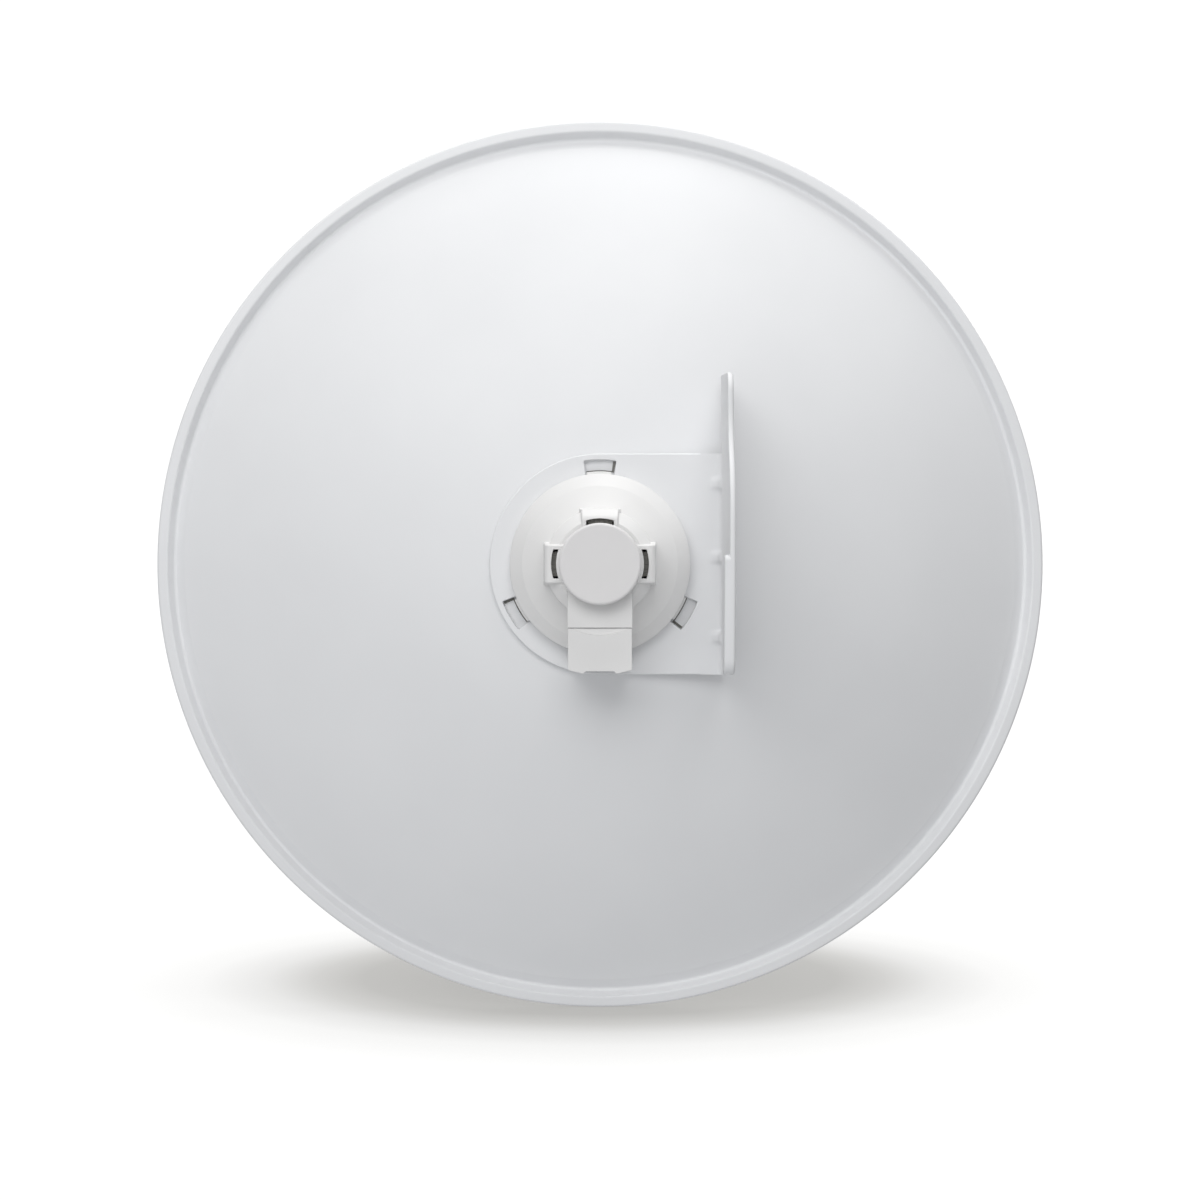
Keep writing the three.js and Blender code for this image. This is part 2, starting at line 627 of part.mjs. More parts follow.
/** A screw with a pan head that faces backwards. */
function portScrew(side) {
  const seat = NECK_REAR + SCREW.sunk;
  const profile = [
    [0, seat - 1.6],
    [SCREW.head - 0.5, seat - 1.6],
    [SCREW.head, seat - 1.1],
    [SCREW.head, seat],
    [SCREW.shank, seat],
    [SCREW.shank, TUBE_REAR + 1.6],
    [0, TUBE_REAR + 1.6],
  ];
  return turned(profile, AROUND_SMALL).translate([side * SCREW.x, 0, SCREW.z]);
}

// ---------------------------------------------------------------- feed

/** The tube through the dish, with a flange behind the hub and a plate in front. */
function feedTube() {
  let made = turned([
    [TUBE_BORE_R, TUBE_REAR],
    [TUBE_FLANGE_R, TUBE_REAR],
    [TUBE_FLANGE_R, TUBE_REAR + 2],
    [TUBE_R, TUBE_REAR + 2],
    [TUBE_R, -1.4],
    [TUBE_R - 0.9, -1.4],
    [TUBE_R - 0.9, 1],
    [TUBE_R, 1],
    [TUBE_R, TUBE_FRONT],
    [FEED_CAP_R - 2.2, TUBE_FRONT],
    [FEED_CAP_R - 2.2, TUBE_FRONT + 2],
    [TUBE_BORE_R, TUBE_FRONT + 2],
    [TUBE_BORE_R, TUBE_REAR],
  ]);
  [-1, 1].forEach((side) => {
    const place = { x: side * SCREW.x, z: SCREW.z, segments: AROUND_SMALL };
    const shell = ring(TUBE_BORE_R + 0.5, 0, [TUBE_REAR, TUBE_BOSS_FRONT]);
    made = made.add(ring(4.2, 0, [TUBE_REAR, TUBE_BOSS_FRONT], place).intersect(shell));
    made = made.subtract(ring(SCREW.way, 0, [TUBE_REAR - 1, TUBE_REAR + 4], place));
  });
  return made;
}

/** An O-ring in the tube's groove. */
function oRing(radius, section, y) {
  const geometry = new THREE.TorusGeometry(radius, section, 6, AROUND_HUB);
  return solid(geometry.rotateX(Math.PI / 2).translate(0, y, 0));
}

/** The collar that closes the hole in the dish round the feed tube. */
function hubGrommet() {
  return turned([
    [TUBE_R + 1.2, -2.3],
    [28.4, -2.3],
    [28.4, -0.1],
    [HUB_HOLE_R - GAP, -0.1],
    [HUB_HOLE_R - GAP, SHEET + 0.1],
    [29.6, SHEET + 0.1],
    [29.2, SHEET + 1.6],
    [24, SHEET + 5.4],
    [TUBE_R + 1.2, SHEET + 6],
    [TUBE_R + 1.2, -2.3],
  ]);
}

/** The round plastic cap that covers the radiator, open towards the dish. */
function feedCap() {
  return turned([
    [0, FEED_CAP_FRONT],
    [FEED_CAP_R - 5, FEED_CAP_FRONT],
    [FEED_CAP_R - 1.6, FEED_CAP_FRONT - 1.5],
    [FEED_CAP_R, FEED_CAP_FRONT - 5],
    [FEED_CAP_R, TUBE_FRONT],
    [FEED_CAP_R - 1.8, TUBE_FRONT],
    [FEED_CAP_R - 1.8, FEED_CAP_FRONT - 4.5],
    [FEED_CAP_R - 5, FEED_CAP_FRONT - 2],
    [0, FEED_CAP_FRONT - 2],
  ]);
}

/** The post that holds the patch and the sub-reflector on the radiator board, in two narrow necks. */
function radiatorSpacer() {
  return turned([
    [0, RADIATOR_BOARD.y[1]],
    [POST_R, RADIATOR_BOARD.y[1]],
    [POST_R, PATCH.y[0] - 0.2],
    [POST_NECK_R, PATCH.y[0] - 0.2],
    [POST_NECK_R, PATCH.y[1] + 0.2],
    [POST_R, PATCH.y[1] + 0.2],
    [POST_R, SUB_REFLECTOR.y[0] - 0.2],
    [POST_NECK_R, SUB_REFLECTOR.y[0] - 0.2],
    [POST_NECK_R, SUB_REFLECTOR.y[1]],
    [0, SUB_REFLECTOR.y[1]],
  ], AROUND_SMALL);
}

// ---------------------------------------------------------------- assembly

const assembly = new THREE.Group();
const add = (name, made, look) => assembly.add(part(name, made, look));

add('dish_reflector', dishReflector(), PAINT);
add('mounting_bracket', mountingBracket(), PAINT);
RIVET_ANGLES.forEach((angle, i) => add(`bracket_rivet_${i + 1}`, bracketRivet(angle), PAINT));
add('hub_grommet', hubGrommet(), PLASTIC);

add('rear_housing', rearHousing(), PLASTIC);
add('port_housing', portHousing(), PLASTIC);
add('tail_cap', tailCap(), PLASTIC);
add('port_cover', portCover(), PLASTIC);
BOSSES.forEach((one) => add(one.name, latchTab(one), DARK_PLASTIC));

add('feed_tube', feedTube(), PLASTIC);
add('feed_o_ring', oRing(TUBE_R, 0.8, -0.2), RUBBER);
add('feed_cap', feedCap(), PLASTIC);
add('sub_reflector', ring(SUB_REFLECTOR.r, POST_NECK_R + GAP, SUB_REFLECTOR.y), ALUMINIUM);
add('patch_radiator', ring(PATCH.r, POST_NECK_R + GAP, PATCH.y), COPPER);
add('radiator_board', ring(RADIATOR_BOARD.r, 0, RADIATOR_BOARD.y), BOARD_GREEN);
add('radiator_spacer', radiatorSpacer(), PLASTIC);
[['left', -5.5], ['right', 5.5]].forEach(([side, z]) => add(`coax_line_${side}`, coaxLine(z), COPPER));

add('circuit_board', circuitBoard(), BOARD_GREEN);
add('processor_shield', box([-6.1, -2.4], [24, 62], mirrorLimits(11)), TIN);
add('radio_shield', box([-6.1, -2.8], [68, 100], mirrorLimits(10)), TIN);
add('ethernet_transformer', box([-6.1, -0.4], [-9, 5], [-7.5, 7.5]), BLACK);
add('rj45_jack', rj45Jack(), TIN);
add('reset_switch', box([-11.4, -7.9], [-26, -20], [-23.6, -19.4]), BLACK);
add('reset_button', resetButton(), DARK_PLASTIC);
add('board_clip_rear', boardClip(12), PLASTIC);
add('board_clip_front', boardClip(106), PLASTIC);
[['left', -1], ['right', 1]].forEach(([name, side]) => add(`port_screw_${name}`, portScrew(side), STEEL));

assembly.position.copy(ORIGIN).negate();

const wirelessBridge = new THREE.Group();
wirelessBridge.add(assembly);

export default wirelessBridge;
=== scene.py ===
import json
import math

import bmesh
import bpy
from mathutils import Matrix, Vector


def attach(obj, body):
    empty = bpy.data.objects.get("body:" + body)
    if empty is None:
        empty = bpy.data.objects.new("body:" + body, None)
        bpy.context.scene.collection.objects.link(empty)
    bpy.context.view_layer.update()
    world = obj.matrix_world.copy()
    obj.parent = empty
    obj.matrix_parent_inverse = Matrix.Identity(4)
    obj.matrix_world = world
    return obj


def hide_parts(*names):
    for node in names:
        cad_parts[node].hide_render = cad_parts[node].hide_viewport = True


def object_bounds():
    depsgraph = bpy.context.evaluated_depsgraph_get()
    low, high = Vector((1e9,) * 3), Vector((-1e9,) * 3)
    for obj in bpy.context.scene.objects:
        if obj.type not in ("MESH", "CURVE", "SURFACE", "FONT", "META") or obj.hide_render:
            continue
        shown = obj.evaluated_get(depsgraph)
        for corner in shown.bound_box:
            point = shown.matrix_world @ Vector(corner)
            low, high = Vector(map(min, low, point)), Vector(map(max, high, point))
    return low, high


# The pieces are drawn in millimetres about the dish's axis: X and Z are 0 on the axis, Y is 0 on the
# rear face of the flat hub, and -Y is behind the dish. piece() turns that into the row's frame.
ORIGIN = Vector((57, -36, -22))
TO_ROW = Matrix.Scale(0.001, 4) @ Matrix.Translation(-ORIGIN)

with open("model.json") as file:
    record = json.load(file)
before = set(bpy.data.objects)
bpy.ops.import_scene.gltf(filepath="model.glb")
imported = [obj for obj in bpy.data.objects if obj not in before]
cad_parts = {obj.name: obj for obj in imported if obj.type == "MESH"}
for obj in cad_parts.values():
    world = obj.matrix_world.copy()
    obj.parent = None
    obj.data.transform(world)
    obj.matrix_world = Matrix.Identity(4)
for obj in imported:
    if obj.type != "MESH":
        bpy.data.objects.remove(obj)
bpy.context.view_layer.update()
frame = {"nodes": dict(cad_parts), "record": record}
scene = bpy.context.scene


# ------------------------------------------------------------------ outlines

def rounded(corners, closed=True, steps=6):
    """A polygon's points with each corner that has a third number, its radius, turned into an arc."""
    points = []
    count = len(corners)
    for i, corner in enumerate(corners):
        here = Vector(corner[:2])
        radius = corner[2] if len(corner) > 2 else 0
        if radius <= 0 or (not closed and i in (0, count - 1)):
            points.append(here)
            continue
        before = Vector(corners[i - 1][:2]) - here
        after = Vector(corners[(i + 1) % count][:2]) - here
        a, b = before.normalized(), after.normalized()
        angle = a.angle(b)
        if angle > math.pi - 0.02:
            points.append(here)
            continue
        reach = min(radius / math.tan(angle / 2), 0.49 * before.length, 0.49 * after.length)
        r = reach * math.tan(angle / 2)
        centre = here + (a + b).normalized() * (r / math.sin(angle / 2))
        start, end = here + a * reach - centre, here + b * reach - centre
        turn = start.angle_signed(end)
        n = max(2, math.ceil(steps * abs(turn) / (math.pi / 2)))
        for k in range(n + 1):
            points.append(centre + Matrix.Rotation(-turn * k / n, 2) @ start)
    return [tuple(p) for p in points]


def arc(cx, cz, r, start, end, step=2.5):
    """Points on a circle from one angle to another, in degrees."""
    n = max(2, math.ceil(abs(end - start) / step))
    angles = [math.radians(start + (end - start) * k / n) for k in range(n + 1)]
    return [(cx + r * math.cos(t), cz + r * math.sin(t)) for t in angles]


def polar(r, degrees):
    """The point at a radius and an angle about the axis."""
    t = math.radians(degrees)
    return (r * math.cos(t), r * math.sin(t))


def rectangle(left, low, right, high):
    """The corners of a rectangle, anticlockwise."""
    return [(left, low), (right, low), (right, high), (left, high)]


def offset(outline, distance):
    """The outline moved outwards by a distance; it runs anticlockwise."""
    result = []
    count = len(outline)
    for i in range(count):
        p, q, r = (Vector(outline[(i + k) % count]) for k in (-1, 0, 1))
        a, b = q - p, r - q
        if a.length < 1e-6 or b.length < 1e-6:
            result.append(tuple(q))
            continue
        na = Vector((a.y, -a.x)).normalized()
        nb = Vector((b.y, -b.x)).normalized()
        half = na + nb
        if half.length < 1e-3:
            half = na
        half = half.normalized()
        result.append(tuple(q + half * (distance / max(0.4, half.dot(na)))))
    return result


# ------------------------------------------------------------------ meshes

def bm_mesh(bm):
    """A mesh from a bmesh, with its doubled points merged and its faces turned outwards."""
    bmesh.ops.remove_doubles(bm, verts=bm.verts, dist=1e-4)
    bmesh.ops.recalc_face_normals(bm, faces=bm.faces)
    mesh = bpy.data.meshes.new("part")
    bm.to_mesh(mesh)
    bm.free()
    return mesh


def lathe(profile, segments=160, closed=True):
    """A profile of (r, y) points turned about the dish's axis."""
    bm = bmesh.new()
    rings = []
    for r, y in profile:
        if r < 1e-5:
            rings.append([bm.verts.new((0, y, 0))])
            continue
        turns = [2 * math.pi * k / segments for k in range(segments)]
        rings.append([bm.verts.new((r * math.cos(t), y, r * math.sin(t))) for t in turns])
    pairs = list(zip(rings, rings[1:]))
    if closed:
        pairs.append((rings[-1], rings[0]))
    for one, two in pairs:
        if len(one) == 1 and len(two) == 1:
            continue
        for k in range(segments):
            n = (k + 1) % segments
            corners = [one[k % len(one)], one[n % len(one)], two[n % len(two)], two[k % len(two)]]
            face = list(dict.fromkeys(corners))
            if len(face) > 2:
                bm.faces.new(face)
    return bm_mesh(bm)


def rings_solid(rings):
    """A solid from rings of points that all have the same count, with a flat cap at each end."""
    bm = bmesh.new()
    made = [[bm.verts.new(p) for p in ring] for ring in rings]
    for one, two in zip(made, made[1:]):
        n = len(one)
        for k in range(n):
            bm.faces.new((one[k], one[(k + 1) % n], two[(k + 1) % n], two[k]))
    bm.faces.new(made[0])
    bm.faces.new(list(reversed(made[-1])))
    return bm_mesh(bm)


def levels(low, high, round_low, round_high, steps=4):
    """Depths and insets of a slab whose rims are rounded; a negative radius flares outwards."""
    result = []
    for k in range(steps + 1 if round_low else 1):
        t = math.pi / 2 * k / steps if round_low else math.pi / 2
        result.append((low + abs(round_low) * (1 - math.cos(t)), round_low * (1 - math.sin(t))))
    for k in range(steps + 1 if round_high else 1):
        t = math.pi / 2 * (1 - k / steps) if round_high else math.pi / 2
        result.append((high - abs(round_high) * (1 - math.cos(t)), round_high * (1 - math.sin(t))))
    return result


POINT_ORDER = {
    "x": lambda a, b, depth: (depth, a, b),
    "y": lambda a, b, depth: (a, depth, b),
    "z": lambda a, b, depth: (a, b, depth),
}


def slab(outline, low, high, round_low=0, round_high=0, axis="y", steps=4):
    """An outline with thickness. Along y the outline is (x, z), along x it is (y, z), along z (x, y)."""
    point = POINT_ORDER[axis]
    rings = []
    for depth, inset in levels(low, high, round_low, round_high, steps):
        ring = outline if abs(inset) < 1e-9 else offset(outline, -inset)
        rings.append([point(a, b, depth) for a, b in ring])
    return rings_solid(rings)


def turn(mesh, degrees):
    """Turns a mesh about the dish's axis, anticlockwise seen from behind."""
    mesh.transform(Matrix.Rotation(math.radians(-degrees), 4, "Y"))
    return mesh


def shift(mesh, x, y, z):
    mesh.transform(Matrix.Translation((x, y, z)))
    return mesh


def combine(base, others, operation):
    """The base mesh joined with, or cut by, each of the other meshes in turn."""
    for other in others:
        a = bpy.data.objects.new("a", base)
        b = bpy.data.objects.new("b", other)
        for o in (a, b):
            scene.collection.objects.link(o)
        cut = a.modifiers.new("cut", "BOOLEAN")
        cut.operation = operation
        cut.object = b
        cut.solver = "EXACT"
        ready = bpy.context.evaluated_depsgraph_get()
        base = bpy.data.meshes.new_from_object(a.evaluated_get(ready))
        bpy.data.objects.remove(a)
        bpy.data.objects.remove(b)
    return base


def join(meshes):
    """Several separate closed meshes as one mesh."""
    bm = bmesh.new()
    for mesh in meshes:
        bm.from_mesh(mesh)
    mesh = bpy.data.meshes.new("joined")
    bm.to_mesh(mesh)
    bm.free()
    return mesh


def smooth(mesh, degrees):
    """Smooth shading, with edges sharper than an angle kept as edges."""
    mesh.polygons.foreach_set("use_smooth", [True] * len(mesh.polygons))
    mesh.set_sharp_from_angle(angle=math.radians(degrees))
    mesh.update()


def piece(name, mesh, body, look, nodes=(), sharp=35):
    """A finished piece in the row's frame, which rides on a body and stands for CAD nodes."""
    mesh.transform(TO_ROW)
    smooth(mesh, sharp)
    mesh.name = name
    made = bpy.data.objects.new(name, mesh)
    scene.collection.objects.link(made)
    mesh.materials.clear()
    mesh.materials.append(look)
    weighted = made.modifiers.new("normals", "WEIGHTED_NORMAL")
    weighted.keep_sharp = True
    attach(made, body)
    if nodes:
        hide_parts(*nodes)
    return made


# ------------------------------------------------------------------ materials

def material(name, color, roughness, metallic=0.0, specular=0.5, coat=0.0):
    made = bpy.data.materials.new(name)
    made.use_nodes = True
    shader = made.node_tree.nodes["Principled BSDF"]
    shader.inputs["Base Color"].default_value = (*color, 1)
    shader.inputs["Roughness"].default_value = roughness
    shader.inputs["Metallic"].default_value = metallic
    shader.inputs["Specular IOR Level"].default_value = specular
    shader.inputs["Coat Weight"].default_value = coat
    shader.inputs["Coat Roughness"].default_value = 0.2
    return made, shader


def position(tree):
    """The piece's own coordinates, in metres, so that a pattern stays put when the piece moves."""
    return tree.nodes.new("ShaderNodeTexCoord").outputs["Object"]


def noise(tree, scale, detail=2, roughness=0.5, stretch=None):
    texture = tree.nodes.new("ShaderNodeTexNoise")
    texture.inputs["Scale"].default_value = scale
    texture.inputs["Detail"].default_value = detail
    texture.inputs["Roughness"].default_value = roughness
    source = position(tree)
    if stretch:
        mapping = tree.nodes.new("ShaderNodeMapping")
        mapping.inputs["Scale"].default_value = stretch
        tree.links.new(source, mapping.inputs["Vector"])
        source = mapping.outputs["Vector"]
    tree.links.new(source, texture.inputs["Vector"])
    return texture.outputs["Fac"]


def ramp(tree, value, stops):
    node = tree.nodes.new("ShaderNodeValToRGB")
    tree.links.new(value, node.inputs["Fac"])
    elements = node.color_ramp.elements
    while len(elements) < len(stops):
        elements.new(0.5)
    for element, (at, color) in zip(elements, stops):
        element.position = at
        element.color = (*color, 1)
    return node.outputs["Color"]


def spread(tree, value, low, high, out_low, out_high):
    node = tree.nodes.new("ShaderNodeMapRange")
    tree.links.new(value, node.inputs["Value"])
    for key, number in (("From Min", low), ("From Max", high), ("To Min", out_low), ("To Max", out_high)):
        node.inputs[key].default_value = number
    return node.outputs["Result"]


def bumps(tree, shader, layers):
    """Layers of (height output, strength, depth in metres), each on top of the last."""
    normal = None
    for height, strength, distance in layers:
        bump = tree.nodes.new("ShaderNodeBump")
        bump.inputs["Strength"].default_value = strength
        bump.inputs["Distance"].default_value = distance
        tree.links.new(height, bump.inputs["Height"])
        if normal:
            tree.links.new(normal, bump.inputs["Normal"])
        normal = bump.outputs["Normal"]
    tree.links.new(normal, shader.inputs["Normal"])


def powder_coat(name, low, high):
    """Satin powder coat: orange peel about 1 mm across, finer grains, and a slow drift in tone."""
    made, shader = material(name, high, 0.5, specular=0.4)
    tree = made.node_tree
    drift = noise(tree, 14, detail=3)
    tree.links.new(ramp(tree, drift, [(0.3, low), (0.7, high)]), shader.inputs["Base Color"])
    peel = noise(tree, 900, detail=2)
    tree.links.new(spread(tree, peel, 0.3, 0.7, 0.46, 0.56), shader.inputs["Roughness"])
    bumps(tree, shader, [(peel, 0.1, 0.00005), (noise(tree, 3200, detail=1), 0.12, 0.00002)])
    return made


def moulded(name, low, high, roughness=0.5, grain=2600):
    """Moulded plastic with a fine spark-eroded grain, and slow, faint changes of tone and gloss."""
    made, shader = material(name, high, roughness, specular=0.45)
    tree = made.node_tree
    drift = noise(tree, 40, detail=3)
    tree.links.new(ramp(tree, drift, [(0.3, low), (0.7, high)]), shader.inputs["Base Color"])
    fine = noise(tree, grain, detail=3, roughness=0.6)
    gloss = spread(tree, fine, 0.3, 0.7, roughness - 0.05, roughness + 0.06)
    tree.links.new(gloss, shader.inputs["Roughness"])
    bumps(tree, shader, [(fine, 0.15, 0.00003), (noise(tree, 160, detail=1), 0.05, 0.0001)])
    return made


def metal(name, color, roughness, stretch, scratch=0.08):
    """Sheet metal with fine rolling marks along one direction."""
    made, shader = material(name, color, roughness, metallic=1.0)
    tree = made.node_tree
    marks = noise(tree, 260, detail=4, stretch=stretch)
    dark = tuple(c * 0.86 for c in color)
    tree.links.new(ramp(tree, marks, [(0.35, dark), (0.65, color)]), shader.inputs["Base Color"])
    gloss = spread(tree, marks, 0.3, 0.7, roughness - 0.06, roughness + 0.1)
    tree.links.new(gloss, shader.inputs["Roughness"])
    bumps(tree, shader, [(marks, scratch, 0.00002)])
    return made


def laminate(name):
    """Green solder mask with lighter copper tracks under it and a fine glass weave."""
    made, shader = material(name, (0.02, 0.14, 0.07), 0.35, coat=0.3)
    tree = made.node_tree
    tracks = tree.nodes.new("ShaderNodeTexVoronoi")
    tracks.distance = "MANHATTAN"
    tracks.inputs["Scale"].default_value = 420
    tree.links.new(position(tree), tracks.inputs["Vector"])
    green = ramp(tree, tracks.outputs["Distance"], [(0.0, (0.03, 0.2, 0.1)), (0.42, (0.015, 0.12, 0.055))])
    tree.links.new(green, shader.inputs["Base Color"])
    weave = noise(tree, 1500, detail=2)
    tree.links.new(spread(tree, weave, 0.3, 0.7, 0.3, 0.42), shader.inputs["Roughness"])
    bumps(tree, shader, [(tracks.outputs["Distance"], 0.1, 0.00003), (weave, 0.06, 0.00002)])
    return made


PAINT = powder_coat("powder_coat", (0.808, 0.813, 0.823), (0.836, 0.841, 0.85))
RIVET_PAINT = powder_coat("rivet_paint", (0.78, 0.79, 0.805), (0.81, 0.82, 0.835))
WHITE = moulded("white_plastic", (0.775, 0.77, 0.762), (0.8, 0.795, 0.787))
CAP_WHITE = moulded("cap_plastic", (0.735, 0.724, 0.722), (0.76, 0.749, 0.747), roughness=0.55, grain=3200)
INNER = moulded("inner_plastic", (0.76, 0.75, 0.73), (0.8, 0.79, 0.77), roughness=0.45, grain=1800)
DARK = moulded("dark_plastic", (0.15, 0.147, 0.134), (0.18, 0.177, 0.163), roughness=0.6, grain=2200)
BLACK = moulded("black_component", (0.012, 0.012, 0.013), (0.022, 0.022, 0.024), roughness=0.4, grain=2400)
RUBBER = moulded("black_rubber", (0.012, 0.012, 0.012), (0.025, 0.025, 0.025), roughness=0.8, grain=1200)
ALUMINIUM = metal("rolled_aluminium", (0.8, 0.81, 0.82), 0.32, (1, 1, 14))
COPPER = metal("bare_copper", (0.78, 0.42, 0.26), 0.3, (1, 1, 8))
TIN = metal("tinned_steel", (0.72, 0.73, 0.74), 0.3, (1, 12, 1))
ZINC = metal("zinc_plated_steel", (0.62, 0.62, 0.6), 0.35, (1, 10, 1))
GOLD = metal("gold_contact", (0.9, 0.66, 0.25), 0.25, (1, 1, 6), scratch=0.03)
BOARD = laminate("board_laminate")

SLOT_LOOKS = {
    "dish_paint": PAINT,
    "rivet_steel": RIVET_PAINT,
    "white_plastic": WHITE,
    "inner_plastic": INNER,
    "dark_plastic": DARK,
    "black_rubber": RUBBER,
    "aluminium_sheet": ALUMINIUM,
    "copper": COPPER,
    "board_laminate": BOARD,
    "tinned_steel": TIN,
    "black_component": BLACK,
    "screw_steel": ZINC,
}


# ------------------------------------------------------------------ sizes

DISH_R = 210
FOCAL = 150
SHEET = 0.9
HUB_FLAT_R = 40.5
HUB_BLEND_R = 50
HUB_DROP = 3.375
HUB_HOLE_R = 27
RIM_START_R = 194
RIM_WALL_R = 203.2
WALL_FOOT_R = 201.6
LIP_RISE = 5

PLATE = 2.5
PLATE_R = 49.5
PLATE_HOLE_R = 29
FIN_X = 57
WINDOWS = (90, -30, 210)
RIVET_ANGLES = (14, 46, 134, 166, 254, 286)
RIVET_CIRCLE_R = 34
HOUSING_R = 40.2
LUG_FRONT = -2.8
BOSS_REAR = -36
BORE_R = 17.0
CHANNEL_HALF = 14.2
PORT_HALF = 13.9
PORT_REAR = -38
PORT_SEAM = -27.7
NECK_FRONT = -14.3
SCREW_X = 11.2
SCREW_Z = 7
CAP_R = 17.7
CAP_REAR = -46
TUBE_R = 18.5
TUBE_FRONT = 142
FEED_CAP_R = 31
FEED_CAP_FRONT = 166


def dish_rear(r):
    """How far in front of the hub the dish's rear face lies, at a radius."""
    if r <= HUB_FLAT_R:
        return 0
    if r >= HUB_BLEND_R:
        return r * r / (4 * FOCAL) - HUB_DROP
    rise = HUB_BLEND_R ** 2 / (4 * FOCAL) - HUB_DROP
    return rise * ((r - HUB_FLAT_R) / (HUB_BLEND_R - HUB_FLAT_R)) ** 2


# ------------------------------------------------------------------ dish

def dish():
    """The pressed dish: a flat hub, the paraboloid, a wall that rises backwards and a rolled lip."""
    foot = dish_rear(WALL_FOOT_R)
    lip = dish_rear(RIM_WALL_R) - LIP_RISE
    radii = [HUB_HOLE_R, 34, HUB_FLAT_R] + [HUB_FLAT_R + k for k in (2, 4, 6, 8)] + [HUB_BLEND_R]
    radii += [HUB_BLEND_R + 4 * k for k in range(1, 37)]
    rear = [(r, dish_rear(r)) for r in radii]
    rim = rounded([
        (RIM_START_R, dish_rear(RIM_START_R)),
        (197.0, dish_rear(197.0), 5),
        (WALL_FOOT_R + 0.6, foot + 1.5, 1.3),
        (204.9, lip, 1.1),
        (DISH_R, lip + 0.8, 1.5),
        (DISH_R, foot + 1.9, 1.8),
        (206.6, foot + 3.6, 1.0),
        (203.6, foot + 3.6, 1.5),
        (196.5, dish_rear(196.5) + SHEET + 0.1, 6),
        (RIM_START_R, dish_rear(RIM_START_R) + SHEET),
    ], closed=False, steps=8)
    front = [(r, y + SHEET) for r, y in reversed(rear)]
    return lathe(rear[:-1] + rim + front[1:], segments=288)


piece("dish_shell", dish(), "dish", PAINT, ["dish_reflector"], sharp=50)


# ------------------------------------------------------------------ bracket

FIN_REAR = 75
ARM_REAR = 57.5
ARM_TOP = 85
PIVOT = (-36, -8)
SWING_R = 30
SLOT_ENDS = (250, 290)
BOLT_R = 4.25
HEM_DEPTH = 11
HEM_TOP = 3.8
BEND_FLAT = 7
BEND_STEPS = 14
BEND_ROWS = 200
DARTS = (35.9, 2.9, -33)
DART_PUSH = 2.3
DART_HALF_WIDTH = 2.6
DART_HALF_LENGTH = 3.9
DIAGONAL = 0.7071


def curve(start, first, second, end, steps=16):
    """Points on a cubic curve, without its start."""
    points = []
    for k in range(1, steps + 1):
        t = k / steps
        a, b, c, d = (1 - t) ** 3, 3 * t * (1 - t) ** 2, 3 * t * t * (1 - t), t ** 3
        points.append(tuple(a * start[i] + b * first[i] + c * second[i] + d * end[i] for i in (0, 1)))
    return points


def fin_outline():
    """The fin in Y and Z: a rear edge that bows out beside the plate, and a shallower arm above it."""
    bend = -2 * PLATE
    low, wide, arm = (-FIN_REAR + 4.2, -34), (-FIN_REAR, 16), (-ARM_REAR, 66)
    outline = rounded([
        (bend, -PLATE_R),
        (-FIN_REAR + 6.5, -PLATE_R + 2.7, 10),
        low,
        *curve(low, (-FIN_REAR + 1.6, -18), (-FIN_REAR, -2), wide, 8),
        *curve(wide, (-FIN_REAR, 46), (-ARM_REAR - 1, 44), arm),
        (-ARM_REAR + 0.8, 81.8, 11),
        (3, ARM_TOP, 3),
        (6, ARM_TOP - 0.2, 2),
        (6, PLATE_R + 6, 1.5),
        (bend, PLATE_R + 1, 1.5),
    ], steps=8)
    return list(reversed(outline))


def fin_slot():
    """An arc slot about the pivot, with round ends."""
    first, last = SLOT_ENDS

    def end(angle):
        y, z = polar(SWING_R, angle)
        return PIVOT[0] + y, PIVOT[1] + z

    outline = arc(*PIVOT, SWING_R + BOLT_R, first, last)
    outline += arc(*end(last), BOLT_R, last, last + 180, 15)[1:-1]
    outline += arc(*PIVOT, SWING_R - BOLT_R, last, first)
    outline += arc(*end(first), BOLT_R, first + 180, first + 360, 15)[1:-1]
    return outline


def bend_section(radius):
    """The bend in X and Y at a radius about its centre, with a short flat at each end."""
    cx, cy = FIN_X - 2 * PLATE, -2 * PLATE
    flats = [BEND_FLAT * k / 5 for k in range(6)]
    points = [(cx - BEND_FLAT + along, cy + radius) for along in flats[:-1]]
    for k in range(BEND_STEPS + 1):
        t = math.pi / 2 * k / BEND_STEPS
        points.append((cx + radius * math.sin(t), cy + radius * math.cos(t)))
    points += [(cx + radius, cy - along) for along in flats[1:]]
    return points


def dart_depth(x, y, z):
    """How far the darts push a point of the bend's inner surface, along the diagonal."""
    along = (x - y - FIN_X) / math.sqrt(2)
    profile = math.exp(-((along - 1.3) / DART_HALF_LENGTH) ** 4)
    return sum(DART_PUSH * math.exp(-((z - at) / DART_HALF_WIDTH) ** 4) * profile for at in DARTS)


